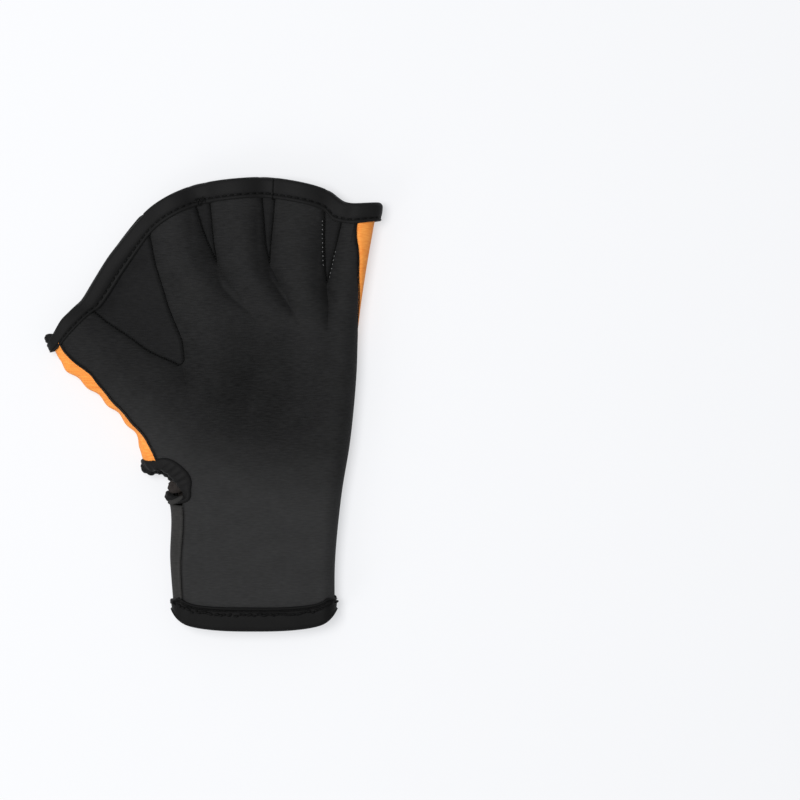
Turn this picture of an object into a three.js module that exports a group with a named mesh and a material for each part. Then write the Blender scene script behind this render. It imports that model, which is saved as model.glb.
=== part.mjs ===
// Webbed neoprene glove for the left hand, open at the fingertips, lying palm up.
// Millimetres: +X to the little finger side, +Y to the fingertips, +Z up.
import * as THREE from "three";

// Driving sizes of the laid-out glove
const ACROSS = 174.2;          // thumb tip to little finger edge
const TALL = 235.6;            // cuff to fingertip edge
const CUFF_DROP = 10.4;        // how far the cuff edge bows down at its middle
const CUFF_CORNER = 6;         // how square the bow's two corners are
const PALM_RISE = 12;          // palm face above the seam plane at its fullest
const BACK_DROP = 9.8;         // back face below the seam plane before the table flattens it
const SEAM_PLANE = 7.5;         // height of the plane in which the palm and back panels meet
const THUMB_ROUND = 13;        // width of the rounded edge on the thumb side
const LITTLE_ROUND = 10;       // width of the rounded edge on the little finger side
const WALL = 2.2;              // neoprene of the panels
const WEB_WALL = 2;            // neoprene of the gussets
const TAPE = 0.9;              // folded binding tape, one leg
const GAP = 0.3;               // clearance between neighbouring panels and gussets
const TAPE_GAP = 0.4;          // clearance between a folded tape and the faceted panel inside it
const KEYHOLE_GAP = 1;         // the same under the keyhole's gathered tape, which fits looser
const CREASE_RISE = 1.3;       // palm face above the seam plane where a gusset starts
const WEB_SAG = 2.2;           // how far the thumb gusset sags between its seams
const FINGER_TAPE = 10;        // outer leg of the finger binding
const CUFF_TAPE = 11;          // outer leg of the cuff binding
const KEYHOLE_TAPE = 4.6;      // outer leg of the keyhole binding
const INNER_TAPE = 6;          // inner leg of the finger and cuff bindings
const KEYHOLE_INNER_TAPE = 3;  // inner leg of the keyhole binding
const TAPE_RIB = 0.5;          // height of the rib along the tapes' long edge
const RIB_WIDTH = 2;           // width over which the tape rises to that rib
const GATHER = 0.7;            // depth of the keyhole tape's gathers
const PUCKER = 1.1;            // how far the thumb side's seam puckers swell outwards
const PUCKER_PITCH = 14;       // from one pucker to the next

// Where things lie along the hand: 0 at the cuff edge, 1 at the finger edge
const KEYHOLE_LOW = 0.28;
const KEYHOLE_HIGH = 0.4;
const THUMB_APEX = 0.6133;
const FINGER_APEX = 0.838;
const CREASE_FADE = 0.13;      // stretch in which a crease below a gusset fades away

const RAD = Math.PI / 180;
const BORDER_ANGLE = 25 * RAD; // where a finger's oval is cut by its gusset
const CROWN = 90 * RAD;

// Outlines in plan: x in shares of ACROSS, y in shares of TALL, v along the hand
const THUMB_SIDE = [
  { v: 0, x: 0.382, y: 0.0508 },
  { v: 0.12, x: 0.3716, y: 0.1545 },
  { v: 0.28, x: 0.3672, y: 0.287 },
  { v: 0.4, x: 0.2925, y: 0.373 },
  { v: 0.5, x: 0.2716, y: 0.426 },
  { v: 0.6, x: 0.2239, y: 0.4702 },
  { v: 0.75, x: 0.1403, y: 0.5276 },
  { v: 0.88, x: 0.0627, y: 0.5806 },
  { v: 1, x: 0.0179, y: 0.6313 },
];
const LITTLE_SIDE = [
  { v: 0, x: 0.8627, y: 0.0508 },
  { v: 0.12, x: 0.8642, y: 0.1545 },
  { v: 0.28, x: 0.8836, y: 0.3002 },
  { v: 0.4, x: 0.9075, y: 0.4084 },
  { v: 0.5, x: 0.9194, y: 0.4857 },
  { v: 0.6, x: 0.9284, y: 0.5695 },
  { v: 0.75, x: 0.9343, y: 0.6733 },
  { v: 0.88, x: 0.9522, y: 0.7837 },
  { v: 1, x: 0.9821, y: 0.936 },
];
// Fingertip edge, from the thumb's outer end to the little finger's: two ends for each finger
const FINGER_EDGE = [
  { finger: "thumb", from: [0.0179, 0.6313], to: [0.1015, 0.7141] },
  { finger: "index", from: [0.2955, 0.9128], to: [0.4299, 0.9702] },
  { finger: "middle", from: [0.4836, 0.9801], to: [0.6388, 0.9912] },
  { finger: "ring", from: [0.6866, 0.989], to: [0.8343, 0.9647] },
  { finger: "little", from: [0.8851, 0.9503], to: [0.9821, 0.936] },
];
// Borders between neighbouring fingers below their gusset: u across the glove at v along it
const THUMB_BORDER = [{ v: 0, u: 0.24 }, { v: 0.28, u: 0.27 }, { v: THUMB_APEX, u: 0.356 }];
const INDEX_BORDER = [{ v: 0, u: 0.45 }, { v: 0.45, u: 0.54 }, { v: 0.7, u: 0.632 }, { v: FINGER_APEX, u: 0.5793 }];
const MIDDLE_BORDER = [{ v: 0, u: 0.62 }, { v: 0.45, u: 0.7 }, { v: 0.73, u: 0.782 }, { v: FINGER_APEX, u: 0.7261 }];
const RING_BORDER = [{ v: 0, u: 0.8 }, { v: 0.45, u: 0.84 }, { v: 0.78, u: 0.905 }, { v: FINGER_APEX, u: 0.8932 }];
// Above its apex a border parts into a gusset's two seams, which bow by so much of u
const BORDERS = [
  { web: "thumb_web", apex: THUMB_APEX, bowLow: 0.012, bowHigh: 0.022, path: THUMB_BORDER },
  { web: "index_web", apex: FINGER_APEX, bowLow: 0, bowHigh: 0.004, path: INDEX_BORDER },
  { web: "middle_web", apex: FINGER_APEX, bowLow: 0, bowHigh: 0.003, path: MIDDLE_BORDER },
  { web: "ring_web", apex: FINGER_APEX, bowLow: -0.004, bowHigh: 0.003, path: RING_BORDER },
];
const WEB_START = 1;           // width at which a gusset starts above its apex
// Fullness along the hand: palm in shares of PALM_RISE, and how far the back lies flat on the table
const FULLNESS = [
  { v: 0, palm: 0.66, flat: 0 },
  { v: 0.07, palm: 0.67, flat: 0 },
  { v: 0.16, palm: 0.73, flat: 1 },
  { v: 0.28, palm: 0.8, flat: 1 },
  { v: 0.45, palm: 0.96, flat: 1 },
  { v: 0.6, palm: 1, flat: 1 },
  { v: 0.72, palm: 0.9, flat: 1 },
  { v: 0.8, palm: 0.82, flat: 1 },
  { v: 0.89, palm: 0.75, flat: 0 },
  { v: 1, palm: 0.73, flat: 0 },
];
const LENS = 0.16;             // share of its rise that the palm loses towards its sides
// Round the keyhole the back keeps clear of the table: between these v, eased in and out, and up to this u
const KEYHOLE_LIFT = { from: 0.19, easeIn: 0.06, to: 0.49, easeOut: 0.05, reach: 0.3, easeAcross: 0.15 };
// The thumb side puckers between these v; the swell points this way and dies away across the glove
const PUCKERED = { from: 0.42, to: 0.94, ease: 0.06, x: -0.6, y: -0.8, fade: 12 };

// Seam of the palm panel with its neighbour, in from the outline: shares of the rounded edges
const THUMB_SEAM = [
  { v: 0, in: 0.6 },
  { v: 0.17, in: 0.57 },
  { v: 0.28, in: 0.62 },
  { v: 0.3, in: 0.86 },
  { v: 0.325, in: 0.92 },
  { v: 0.355, in: 0.84 },
  { v: 0.4, in: 0.6 },
  { v: 0.43, in: 0.54 },
  { v: 0.48, in: 0.4 },
  { v: 0.57, in: 0.27 },
  { v: 0.66, in: 0.29 },
  { v: 0.75, in: 0.4 },
  { v: 0.8, in: 0.52 },
  { v: 0.86, in: 0.49 },
  { v: 0.93, in: 0.38 },
  { v: 1, in: 0.36 },
];
// On the little finger side the seam is an angle round the edge: 90 on top, 0 at the outline
const LITTLE_SEAM = [
  { v: 0, angle: -38 },
  { v: 0.6, angle: -38 },
  { v: 0.7, angle: -20 },
  { v: 0.765, angle: 12 },
  { v: 0.81, angle: 22 },
  { v: 0.857, angle: 41 },
  { v: 0.915, angle: 60 },
  { v: 0.955, angle: 74 },
  { v: 1, angle: 80 },
];
// Angle round the thumb side at which the keyhole cuts the back panel
const KEYHOLE_BACK = [
  { v: 0.28, angle: -30 },
  { v: 0.31, angle: -54 },
  { v: 0.35, angle: -56 },
  { v: 0.4, angle: -26 },
  { v: 1, angle: -26 },
];

// Steps of the faceted forms
const ROWS_WRIST = [0, 0.07, 0.14, 0.2, 0.25, KEYHOLE_LOW];
const ROWS_HAND = [0.3, 0.32, 0.345, 0.37, KEYHOLE_HIGH, 0.43, 0.48, 0.54, THUMB_APEX, 0.66, 0.7, 0.74, 0.775, 0.805,
  FINGER_APEX, 0.87, 0.9, 0.93, 0.965, 1];
const OVAL_ANGLES = [BORDER_ANGLE, 42 * RAD, 62 * RAD, CROWN];
const RIM_STEPS = 4;
const THUMB_WEB_STEPS = { across: 6, along: 6 };
const FINGER_WEB_STEPS = { across: 2, along: 4 };
const THUMB_WEB_STATIONS = [0.05, 0.2, 0.4, 0.6, 0.8, 0.95];   // the binding's, across a gusset
const FINGER_WEB_STATIONS = [0.25, 0.5, 0.75];
const RUN_STEPS = 100;
// Steps in u and v over which the surface's slopes are taken
const STRETCH_STEP = 0.02;
const NORMAL_STEP = 0.006;
const ALONG_STEP = 0.01;
const APEX_STEP = 0.001;

const clamp01 = (value) => Math.min(Math.max(value, 0), 1);
const mix = (a, b, t) => a + (b - a) * t;
const smooth = (t) => clamp01(t) ** 2 * (3 - 2 * clamp01(t));

// Value of one column of a table at v, on straight lines between its rows
function lookUp(table, column, v) {
  const last = table.length - 1;
  let i = 0;
  while (i < last - 1 && v > table[i + 1].v) i += 1;
  const t = clamp01((v - table[i].v) / (table[i + 1].v - table[i].v));
  return mix(table[i][column], table[i + 1][column], t);
}

// A smooth curve through points given with their own stations
class PlanCurve {
  constructor(points, stations) {
    this.stations = stations;
    this.curve = new THREE.CatmullRomCurve3(points.map(([x, y]) => new THREE.Vector3(x, y, 0)), false, "centripetal");
  }

  at(station) {
    const last = this.stations.length - 1;
    let i = 0;
    while (i < last - 1 && station > this.stations[i + 1]) i += 1;
    const t = (station - this.stations[i]) / (this.stations[i + 1] - this.stations[i]);
    return this.curve.getPoint(clamp01((i + clamp01(t)) / last));
  }
}

const place = (share) => [share[0] * ACROSS, share[1] * TALL];
const sideCurve = (table) => new PlanCurve(table.map((row) => place([row.x, row.y])), table.map((row) => row.v));
const thumbSide = sideCurve(THUMB_SIDE);
const littleSide = sideCurve(LITTLE_SIDE);

const edgePoints = FINGER_EDGE.flatMap((row) => [place(row.from), place(row.to)]);
const edgeRun = [0];
for (let i = 1; i < edgePoints.length; i += 1) {
  const step = Math.hypot(edgePoints[i][0] - edgePoints[i - 1][0], edgePoints[i][1] - edgePoints[i - 1][1]);
  edgeRun.push(edgeRun[i - 1] + step);
}
const EDGE_SHARES = edgeRun.map((run) => run / edgeRun[edgeRun.length - 1]);
const fingerEdge = new PlanCurve(edgePoints, EDGE_SHARES);

function cuffEdge(u) {
  const point = thumbSide.at(0).clone().lerp(littleSide.at(0), u);
  point.y -= CUFF_DROP * (1 - (2 * u - 1) ** CUFF_CORNER);
  return point;
}

// Plan point at u across the glove and v along it, blended from the four outlines
function plan(u, v) {
  const [a, b] = [clamp01(u), clamp01(v)];
  const point = cuffEdge(a).multiplyScalar(1 - b).addScaledVector(fingerEdge.at(a), b);
  point.addScaledVector(thumbSide.at(b), 1 - a).addScaledVector(littleSide.at(b), a);
  point.addScaledVector(thumbSide.at(0), -(1 - a) * (1 - b)).addScaledVector(littleSide.at(0), -a * (1 - b));
  point.addScaledVector(thumbSide.at(1), -(1 - a) * b).addScaledVector(littleSide.at(1), -a * b);
  const { from, to, ease, x, y, fade } = PUCKERED;
  const swell = PUCKER * smooth((b - from) / ease) * smooth((to - b) / ease) * Math.exp(-a * fade);
  const wave = swell * Math.sin((2 * Math.PI * thumbRun(b)) / PUCKER_PITCH);
  point.x += wave * x;
  point.y += wave * y;
  return point;
}

// Length of the thumb side's outline up to v
const thumbRuns = [0];
for (let i = 1; i <= RUN_STEPS; i += 1) {
  thumbRuns.push(thumbRuns[i - 1] + thumbSide.at(i / RUN_STEPS).distanceTo(thumbSide.at((i - 1) / RUN_STEPS)));
}
function thumbRun(v) {
  const i = Math.min(Math.floor(v * RUN_STEPS), RUN_STEPS - 1);
  return mix(thumbRuns[i], thumbRuns[i + 1], v * RUN_STEPS - i);
}

// The two borders of finger k at v, as u across the glove
function fingerSpan(k, v) {
  const border = (index, high) => {
    const { apex, path, bowLow, bowHigh } = BORDERS[index];
    if (v <= apex) return lookUp(path, "u", v);
    const t = (v - apex) / (1 - apex);
    const edge = EDGE_SHARES[high ? 2 * index + 2 : 2 * index + 1];
    return mix(path[path.length - 1].u, edge, t) + (high ? bowHigh : bowLow) * 4 * t * (1 - t);
  };
  return [k === 0 ? 0 : border(k - 1, true), k === 4 ? 1 : border(k, false)];
}

// Millimetres in plan for one unit of u, near u at v
function stretch(u, v) {
  const step = u > 0.5 ? -STRETCH_STEP : STRETCH_STEP;
  return plan(u + step, v).distanceTo(plan(u, v)) / STRETCH_STEP;
}

const isRim = (k, half) => (k === 0 && half < 0) || (k === 4 && half > 0);

function crownOf(k, v) {
  const [low, high] = fingerSpan(k, v);
  if (k === 0) return THUMB_ROUND / stretch(0, v);
  if (k === 4) return 1 - LITTLE_ROUND / stretch(1, v);
  return (low + high) / 2;
}

// Height of a face off the seam plane at its crown, palm side or back side.
// The back keeps clear of the table wherever a tape runs under it.
function fullness(u, v, palm) {
  if (palm) return PALM_RISE * lookUp(FULLNESS, "palm", v) * (1 - LENS * (2 * u - 1) ** 2);
  const drop = mix(SEAM_PLANE - TAPE_GAP - TAPE - TAPE_RIB, BACK_DROP, lookUp(FULLNESS, "flat", v));
  const { from, easeIn, to, easeOut, reach, easeAcross } = KEYHOLE_LIFT;
  const byKeyhole = smooth((v - from) / easeIn) * smooth((to - v) / easeOut) * smooth((reach - u) / easeAcross);
  return mix(drop, SEAM_PLANE - KEYHOLE_GAP - TAPE - GATHER, byKeyhole);
}

// Height of a face where two fingers meet: low beside a gusset, fading into the palm below it
function borderHeight(k, half, u, v, palm) {
  const { apex } = BORDERS[half < 0 ? k - 1 : k];
  return mix(CREASE_RISE, fullness(u, v, palm), smooth((apex - v) / CREASE_FADE));
}

// Point of the outer skin: finger k, half -1 or 1 of it, angle over it (90 palm crown, -90 back crown)
function skin(k, half, angle, v) {
  const palm = angle >= 0;
  const sign = palm ? 1 : -1;
  const crownU = crownOf(k, v);
  const [low, high] = fingerSpan(k, v);
  if (isRim(k, half) && Math.abs(angle) <= CROWN) {
    const edgeU = half < 0 ? 0 : 1;
    const point = plan(mix(crownU, edgeU, Math.cos(angle)), v);
    point.z = SEAM_PLANE + fullness(crownU, v, palm) * Math.sin(angle);
    point.z = Math.max(point.z, 0);
    return point;
  }
  let toBorder = Math.cos(angle) / Math.cos(BORDER_ANGLE);
  let side = half;
  if (isRim(k, half)) {
    const round = half < 0 ? THUMB_ROUND : LITTLE_ROUND;
    const spare = (half < 0 ? high - crownU : crownU - low) * stretch(half < 0 ? 0 : 1, v);
    toBorder = (-Math.cos(angle) * round) / spare;
    side = -half;
  }
  const borderU = side < 0 ? low : high;
  const over = Math.acos(Math.min(toBorder * Math.cos(BORDER_ANGLE), 1));
  const rise = (Math.sin(over) - Math.sin(BORDER_ANGLE)) / (1 - Math.sin(BORDER_ANGLE));
  const u = mix(crownU, borderU, toBorder);
  const edgeHeight = borderHeight(k, side, borderU, v, palm);
  const height = mix(edgeHeight, fullness(crownU, v, palm), rise);
  const point = plan(u, v);
  point.z = Math.max(SEAM_PLANE + sign * height, 0);
  return point;
}

// Outward normal of the skin there
function skinNormal(k, half, angle, v) {
  const sides = v < 0.5 ? [v, v + NORMAL_STEP] : [v - NORMAL_STEP, v];
  const around = skin(k, half, angle - half * RAD, v).sub(skin(k, half, angle + half * RAD, v));
  const along = skin(k, half, angle, sides[1]).sub(skin(k, half, angle, sides[0]));
  return around.cross(along).normalize();
}

// Turns a grid of paired points (far and near side of a wall) into one closed mesh
class WallBuilder {
  constructor() {
    this.keys = new Map();
    this.pairs = [];
    this.quads = [];
  }

  // Shared corners carry the same key; their two sides are averaged
  corner(key, far, near) {
    if (!this.keys.has(key)) {
      this.keys.set(key, this.pairs.length);
      this.pairs.push({ far: far.clone(), near: near.clone(), count: 1 });
    } else {
      const pair = this.pairs[this.keys.get(key)];
      pair.far.add(far);
      pair.near.add(near);
      pair.count += 1;
    }
    return this.keys.get(key);
  }

  quad(a, b, c, d) {
    this.quads.push([a, b, c, d]);
  }

  geometry() {
    const count = this.pairs.length;
    const positions = [];
    for (const side of ["far", "near"]) {
      for (const pair of this.pairs) {
        const point = pair[side].clone().divideScalar(pair.count);
        positions.push(point.x, point.y, point.z);
      }
    }
    const triangles = [];
    const edges = new Map();
    for (const [a, b, c, d] of this.quads) {
      for (const [p, q, r] of [[a, b, c], [a, c, d]]) {
        if (p === q || q === r || r === p) continue;
        triangles.push(p, q, r, count + r, count + q, count + p);
        for (const [from, to] of [[p, q], [q, r], [r, p]]) {
          const twin = `${to},${from}`;
          if (edges.has(twin)) edges.delete(twin);
          else edges.set(`${from},${to}`, [from, to]);
        }
      }
    }
    for (const [from, to] of edges.values()) {
      triangles.push(from, count + from, count + to, from, count + to, to);
    }
    const geometry = new THREE.BufferGeometry();
    geometry.setAttribute("position", new THREE.Float32BufferAttribute(positions, 3));
    geometry.setIndex(triangles);
    if (volumeOf(geometry) < 0) {
      for (let i = 0; i < triangles.length; i += 3) {
        [triangles[i], triangles[i + 1]] = [triangles[i + 1], triangles[i]];
      }
      geometry.setIndex(triangles);
    }
    geometry.computeVertexNormals();
    return geometry;
  }
}

function volumeOf(geometry) {
  const position = geometry.getAttribute("position");
  const corners = geometry.getIndex();
  const [a, b, c] = [new THREE.Vector3(), new THREE.Vector3(), new THREE.Vector3()];
  let sum = 0;
  for (let i = 0; i < corners.count; i += 3) {
    a.fromBufferAttribute(position, corners.getX(i));
    b.fromBufferAttribute(position, corners.getX(i + 1));
    c.fromBufferAttribute(position, corners.getX(i + 2));
    sum += a.dot(b.cross(c)) / 6;
  }
  return sum;
}

// Inner skin: one wall in from the outer one, and between the fingers on its own side of the seam plane
function lining(k, half, angle, v) {
  const point = skin(k, half, angle, v).addScaledVector(skinNormal(k, half, angle, v), -WALL);
  if (isRim(k, half) && Math.abs(angle) <= CROWN) return point;
  if (angle >= 0) point.z = Math.max(point.z, SEAM_PLANE + GAP / 2);
  else point.z = Math.min(point.z, SEAM_PLANE - GAP / 2);
  return point;
}

// Share of the hand's length that covers so many millimetres at u, v
function alongShare(length, u, v) {
  const next = v < 0.5 ? v + ALONG_STEP : v - ALONG_STEP;
  return (length * ALONG_STEP) / plan(u, v).distanceTo(plan(u, next));
}

// Half a seam's clearance as an angle round a rounded edge
const seamTurn = (v) => GAP / 2 / fullness(0, v, true);
const thumbSeam = (v) => Math.acos(1 - lookUp(THUMB_SEAM, "in", v));
const littleSeam = (v) => lookUp(LITTLE_SEAM, "angle", v) * RAD;
const keyholeBack = (v) => lookUp(KEYHOLE_BACK, "angle", v) * RAD;

// Columns of angles from one edge of a finger's half to the other, each a function of v
const spread = (from, to, steps) => Array.from({ length: steps + 1 }, (_, i) => (v) => mix(from(v), to(v), i / steps));
const fixed = (angle) => () => angle;

// Columns of a panel across all five fingers; sign 1 is the palm face, -1 the back face
function panelColumns(sign, thumbEdge, littleEdge) {
  const columns = [];
  const add = (k, half, angles, part) => angles.forEach((angle) => columns.push({ k, half, angle, part }));
  for (let k = 0; k < 5; k += 1) {
    const left = OVAL_ANGLES.map((angle) => fixed(sign * angle));
    const right = [...left].reverse();
    if (k === 0) thumbEdge.forEach(({ angles, part }) => add(0, -1, angles, part));
    else add(k, -1, left, "face");
    if (k === 4) add(4, 1, littleEdge, "face");
    else add(k, 1, right.slice(1), "face");
  }
  return columns;
}

// A sewn panel: the wall between skin and lining over its columns and rows
function panel(rows, columns, covers = () => true) {
  const wall = new WallBuilder();
  const corners = rows.map((v, r) => columns.map((column, c) => {
    const { k, half } = column;
    const angle = column.angle(v);
    const previous = columns[c - 1];
    const joined = previous && previous.k === k - 1 && v <= BORDERS[k - 1].apex;
    const key = `${r}:${joined || sameColumn(column, previous) ? c - 1 : c}`;
    return wall.corner(key, skin(k, half, angle, v), lining(k, half, angle, v));
  }));
  for (let r = 0; r + 1 < rows.length; r += 1) {
    for (let c = 0; c + 1 < columns.length; c += 1) {
      if (columns[c].k !== columns[c + 1].k || !covers(columns[c + 1], rows[r])) continue;
      wall.quad(corners[r][c], corners[r][c + 1], corners[r + 1][c + 1], corners[r + 1][c]);
    }
  }
  return wall.geometry();
}

// Two columns that lie on each other where one part of a panel runs on into the next
const sameColumn = (column, previous) => Boolean(previous) && previous.k === column.k && previous.part !== column.part;

function palmPanel() {
  const thumbEdge = [{ angles: spread((v) => thumbSeam(v) + seamTurn(v), fixed(CROWN), RIM_STEPS), part: "face" }];
  const littleEdge = spread(fixed(CROWN), (v) => littleSeam(v) + seamTurn(v), RIM_STEPS + 2).slice(1);
  return panel([...ROWS_WRIST, ...ROWS_HAND], panelColumns(1, thumbEdge, littleEdge));
}

// Angles of the back and wrist panels' little finger edge, from the crown round to the palm's seam
const underLittle = (steps) => spread(fixed(-CROWN), (v) => littleSeam(v) - seamTurn(v), steps).slice(1);

function backPanel() {
  const turnUp = spread((v) => thumbSeam(v) - seamTurn(v), keyholeBack, RIM_STEPS);
  const thumbEdge = [
    { angles: turnUp, part: "turn_up" },
    { angles: spread(keyholeBack, fixed(-CROWN), RIM_STEPS), part: "face" },
  ];
  const start = KEYHOLE_LOW + alongShare(GAP, 0.5, KEYHOLE_LOW);
  const columns = panelColumns(-1, thumbEdge, underLittle(2 * RIM_STEPS));
  return panel([start, ...ROWS_HAND], columns, (column, v) => column.part !== "turn_up" || v >= KEYHOLE_HIGH);
}

function wristPanel() {
  const thumbEdge = [{ angles: spread((v) => thumbSeam(v) - seamTurn(v), fixed(-CROWN), 2 * RIM_STEPS), part: "face" }];
  const end = KEYHOLE_LOW - alongShare(GAP, 0.5, KEYHOLE_LOW);
  return panel([...ROWS_WRIST.slice(0, -1), end], panelColumns(-1, thumbEdge, underLittle(RIM_STEPS)));
}

// Middle of a gusset at w across it, from its lower finger to the next
function webMiddle(index, w, v) {
  const left = fingerSpan(index, v)[1];
  const right = fingerSpan(index + 1, v)[0];
  const point = plan(mix(left, right, w), v);
  const sag = index === 0 ? WEB_SAG * smooth((v - THUMB_APEX) / (1 - THUMB_APEX)) : 0;
  point.z = SEAM_PLANE - sag * 4 * w * (1 - w);
  return point;
}

const webWidth = (index, v) => webMiddle(index, 0, v).distanceTo(webMiddle(index, 1, v));

// A single-layer gusset; it starts where the fingers part far enough to hold it
function webPanel(index, { across, along }) {
  const wall = new WallBuilder();
  let start = BORDERS[index].apex;
  while (webWidth(index, start) < WEB_START + 2 * GAP) start += APEX_STEP;
  const corners = [];
  for (let r = 0; r <= along; r += 1) {
    const v = mix(start, 1, r / along);
    const edge = GAP / webWidth(index, v);
    corners.push([]);
    for (let c = 0; c <= across; c += 1) {
      const far = webMiddle(index, mix(edge, 1 - edge, c / across), v);
      const near = far.clone();
      far.z += WEB_WALL / 2;
      near.z -= WEB_WALL / 2;
      corners[r].push(wall.corner(`${r}:${c}`, far, near));
    }
  }
  for (let r = 0; r < along; r += 1) {
    for (let c = 0; c < across; c += 1) {
      wall.quad(corners[r][c], corners[r][c + 1], corners[r + 1][c + 1], corners[r + 1][c]);
    }
  }
  return wall.geometry();
}

// Folded tape round a ring of stations; each station is a section of paired points,
// inner leg first, and a null where it has no inner leg
function foldedTape(stations) {
  const wall = new WallBuilder();
  const corners = stations.map((section, s) => section.map((pair, i) => (
    pair ? wall.corner(`${s}:${i}`, pair.far, pair.near) : null)));
  corners.forEach((section, s) => {
    const next = corners[(s + 1) % corners.length];
    for (let i = 0; i + 1 < section.length; i += 1) {
      if ([section[i], section[i + 1], next[i], next[i + 1]].includes(null)) continue;
      wall.quad(section[i], next[i], next[i + 1], section[i + 1]);
    }
  });
  return wall.geometry();
}

// Section of a tape folded over a panel's edge; at(distance) gives the skin in from the edge
function tapeSection(at, outerLeg, innerLeg, rib, gap) {
  const edge = at(0);
  const back = at(1);
  const outward = edge.skin.clone().sub(back.skin).setZ(0).normalize();
  const pair = (base, direction, beyond, thickness) => ({
    near: base.clone().addScaledVector(direction, gap).addScaledVector(outward, beyond ? gap : 0),
    far: base.clone().addScaledVector(direction, gap + thickness).addScaledVector(outward, beyond ? gap + TAPE : 0),
  });
  const inner = at(innerLeg);
  const outer = at(outerLeg);
  const shoulder = at(outerLeg - RIB_WIDTH);
  return [
    pair(inner.lining, inner.normal.clone().negate(), false, TAPE),
    pair(edge.lining, edge.normal.clone().negate(), true, TAPE),
    pair(edge.skin, edge.normal, true, TAPE),
    pair(shoulder.skin, shoulder.normal, false, TAPE),
    pair(outer.skin, outer.normal, false, TAPE + rib),
  ];
}

// Skin, lining and normal of a finger half at a distance in from the finger edge or the cuff
const skinFrom = (k, half, angle, end) => (distance) => {
  const share = alongShare(distance, crownOf(k, end), end);
  const v = end === 1 ? 1 - share : share;
  return { skin: skin(k, half, angle, v), lining: lining(k, half, angle, v), normal: skinNormal(k, half, angle, v) };
};

// Section of the finger binding where it runs on over a gusset: one leg on it and a cap over its end
function webSection(index, w, sign) {
  const up = new THREE.Vector3(0, 0, sign);
  const at = (distance) => webMiddle(index, w, 1 - alongShare(distance, 0.5, 1));
  const outward = at(0).sub(at(1)).setZ(0).normalize();
  const pair = (distance, rise, thickness, beyond) => ({
    near: at(distance).addScaledVector(up, rise).addScaledVector(outward, beyond ? TAPE_GAP : 0),
    far: at(distance).addScaledVector(up, rise + thickness).addScaledVector(outward, beyond ? TAPE_GAP + TAPE : 0),
  });
  const rise = WEB_WALL / 2 + TAPE_GAP;
  return [
    null,
    pair(0, GAP / 2, 0, true),
    pair(0, rise, TAPE, true),
    pair(FINGER_TAPE - RIB_WIDTH, rise, TAPE, false),
    pair(FINGER_TAPE, rise, TAPE + TAPE_RIB, false),
  ];
}

// Stations over one face of the fingers at an end of the glove, from the thumb side to the little finger
function faceStations(sign, end, section, webs) {
  const stations = [];
  const rim = spread(fixed(0), fixed(CROWN), RIM_STEPS).map((angle) => sign * angle());
  const oval = OVAL_ANGLES.map((angle) => sign * angle);
  for (let k = 0; k < 5; k += 1) {
    const toCrown = k === 0 ? rim : oval.slice(1);
    const fromCrown = [...(k === 4 ? rim : oval.slice(webs ? 1 : 0))].reverse().slice(1);
    toCrown.forEach((angle) => stations.push(section(k, -1, angle, end)));
    fromCrown.forEach((angle) => stations.push(section(k, 1, angle, end)));
    if (webs && k < 4) webs[k].forEach((w) => stations.push(webSection(k, w, sign)));
  }
  return stations;
}

// A ring over the palm face and back under the back face, sharing the stations at the two outlines
const ringOf = (section, end, webs) => {
  const palm = faceStations(1, end, section, webs);
  const back = faceStations(-1, end, section, webs).reverse();
  return [...palm, ...back.slice(1, -1)];
};

const edgeTape = (outerLeg) => (k, half, angle, end) => (
  tapeSection(skinFrom(k, half, angle, end), outerLeg, INNER_TAPE, TAPE_RIB, TAPE_GAP));

function fingerBinding() {
  const webs = [THUMB_WEB_STATIONS, FINGER_WEB_STATIONS, FINGER_WEB_STATIONS, FINGER_WEB_STATIONS];
  return foldedTape(ringOf(edgeTape(FINGER_TAPE), 1, webs));
}

const cuffBinding = () => foldedTape(ringOf(edgeTape(CUFF_TAPE), 0, null));

// Gathered tape round the side opening: up the palm's edge, over the top, down the back's edge, along the wrist's
function keyholeBinding() {
  const meanRadius = (v) => (THUMB_ROUND + fullness(0, v, false)) / 2;
  const low = KEYHOLE_LOW - alongShare(GAP, 0, KEYHOLE_LOW);
  const path = [];
  const beside = [low, ...ROWS_HAND.filter((v) => v < KEYHOLE_HIGH)];
  const round = (from, to, steps, up, v) => {
    for (let i = 1; i < steps; i += 1) path.push({ angle: mix(from, to, i / steps), v, side: 0, up });
  };
  const corner = (angle, v, side, up) => path.push({ angle, v, side: side * Math.SQRT1_2, up: up * Math.SQRT1_2 });
  beside.slice(1).forEach((v) => path.push({ angle: thumbSeam(v) + seamTurn(v), v, side: 1, up: 0 }));
  corner(thumbSeam(KEYHOLE_HIGH), KEYHOLE_HIGH, 1, 1);
  round(thumbSeam(KEYHOLE_HIGH), keyholeBack(KEYHOLE_HIGH), RIM_STEPS + 2, 1, KEYHOLE_HIGH);
  corner(keyholeBack(KEYHOLE_HIGH), KEYHOLE_HIGH, -1, 1);
  beside.slice(1).reverse().forEach((v) => path.push({ angle: keyholeBack(v), v, side: -1, up: 0 }));
  corner(keyholeBack(low), low, -1, -1);
  round(keyholeBack(low), thumbSeam(low), RIM_STEPS + 2, -1, low);
  corner(thumbSeam(low), low, 1, -1);
  return foldedTape(path.map(({ angle, v, side, up }, i) => {
    const at = (distance) => {
      const there = v + up * alongShare(distance, 0, v);
      const a = angle + (side * distance) / meanRadius(v);
      return { skin: skin(0, -1, a, there), lining: lining(0, -1, a, there), normal: skinNormal(0, -1, a, there) };
    };
    return tapeSection(at, KEYHOLE_TAPE, KEYHOLE_INNER_TAPE, i % 2 ? GATHER : 0, KEYHOLE_GAP);
  }));
}

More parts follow.
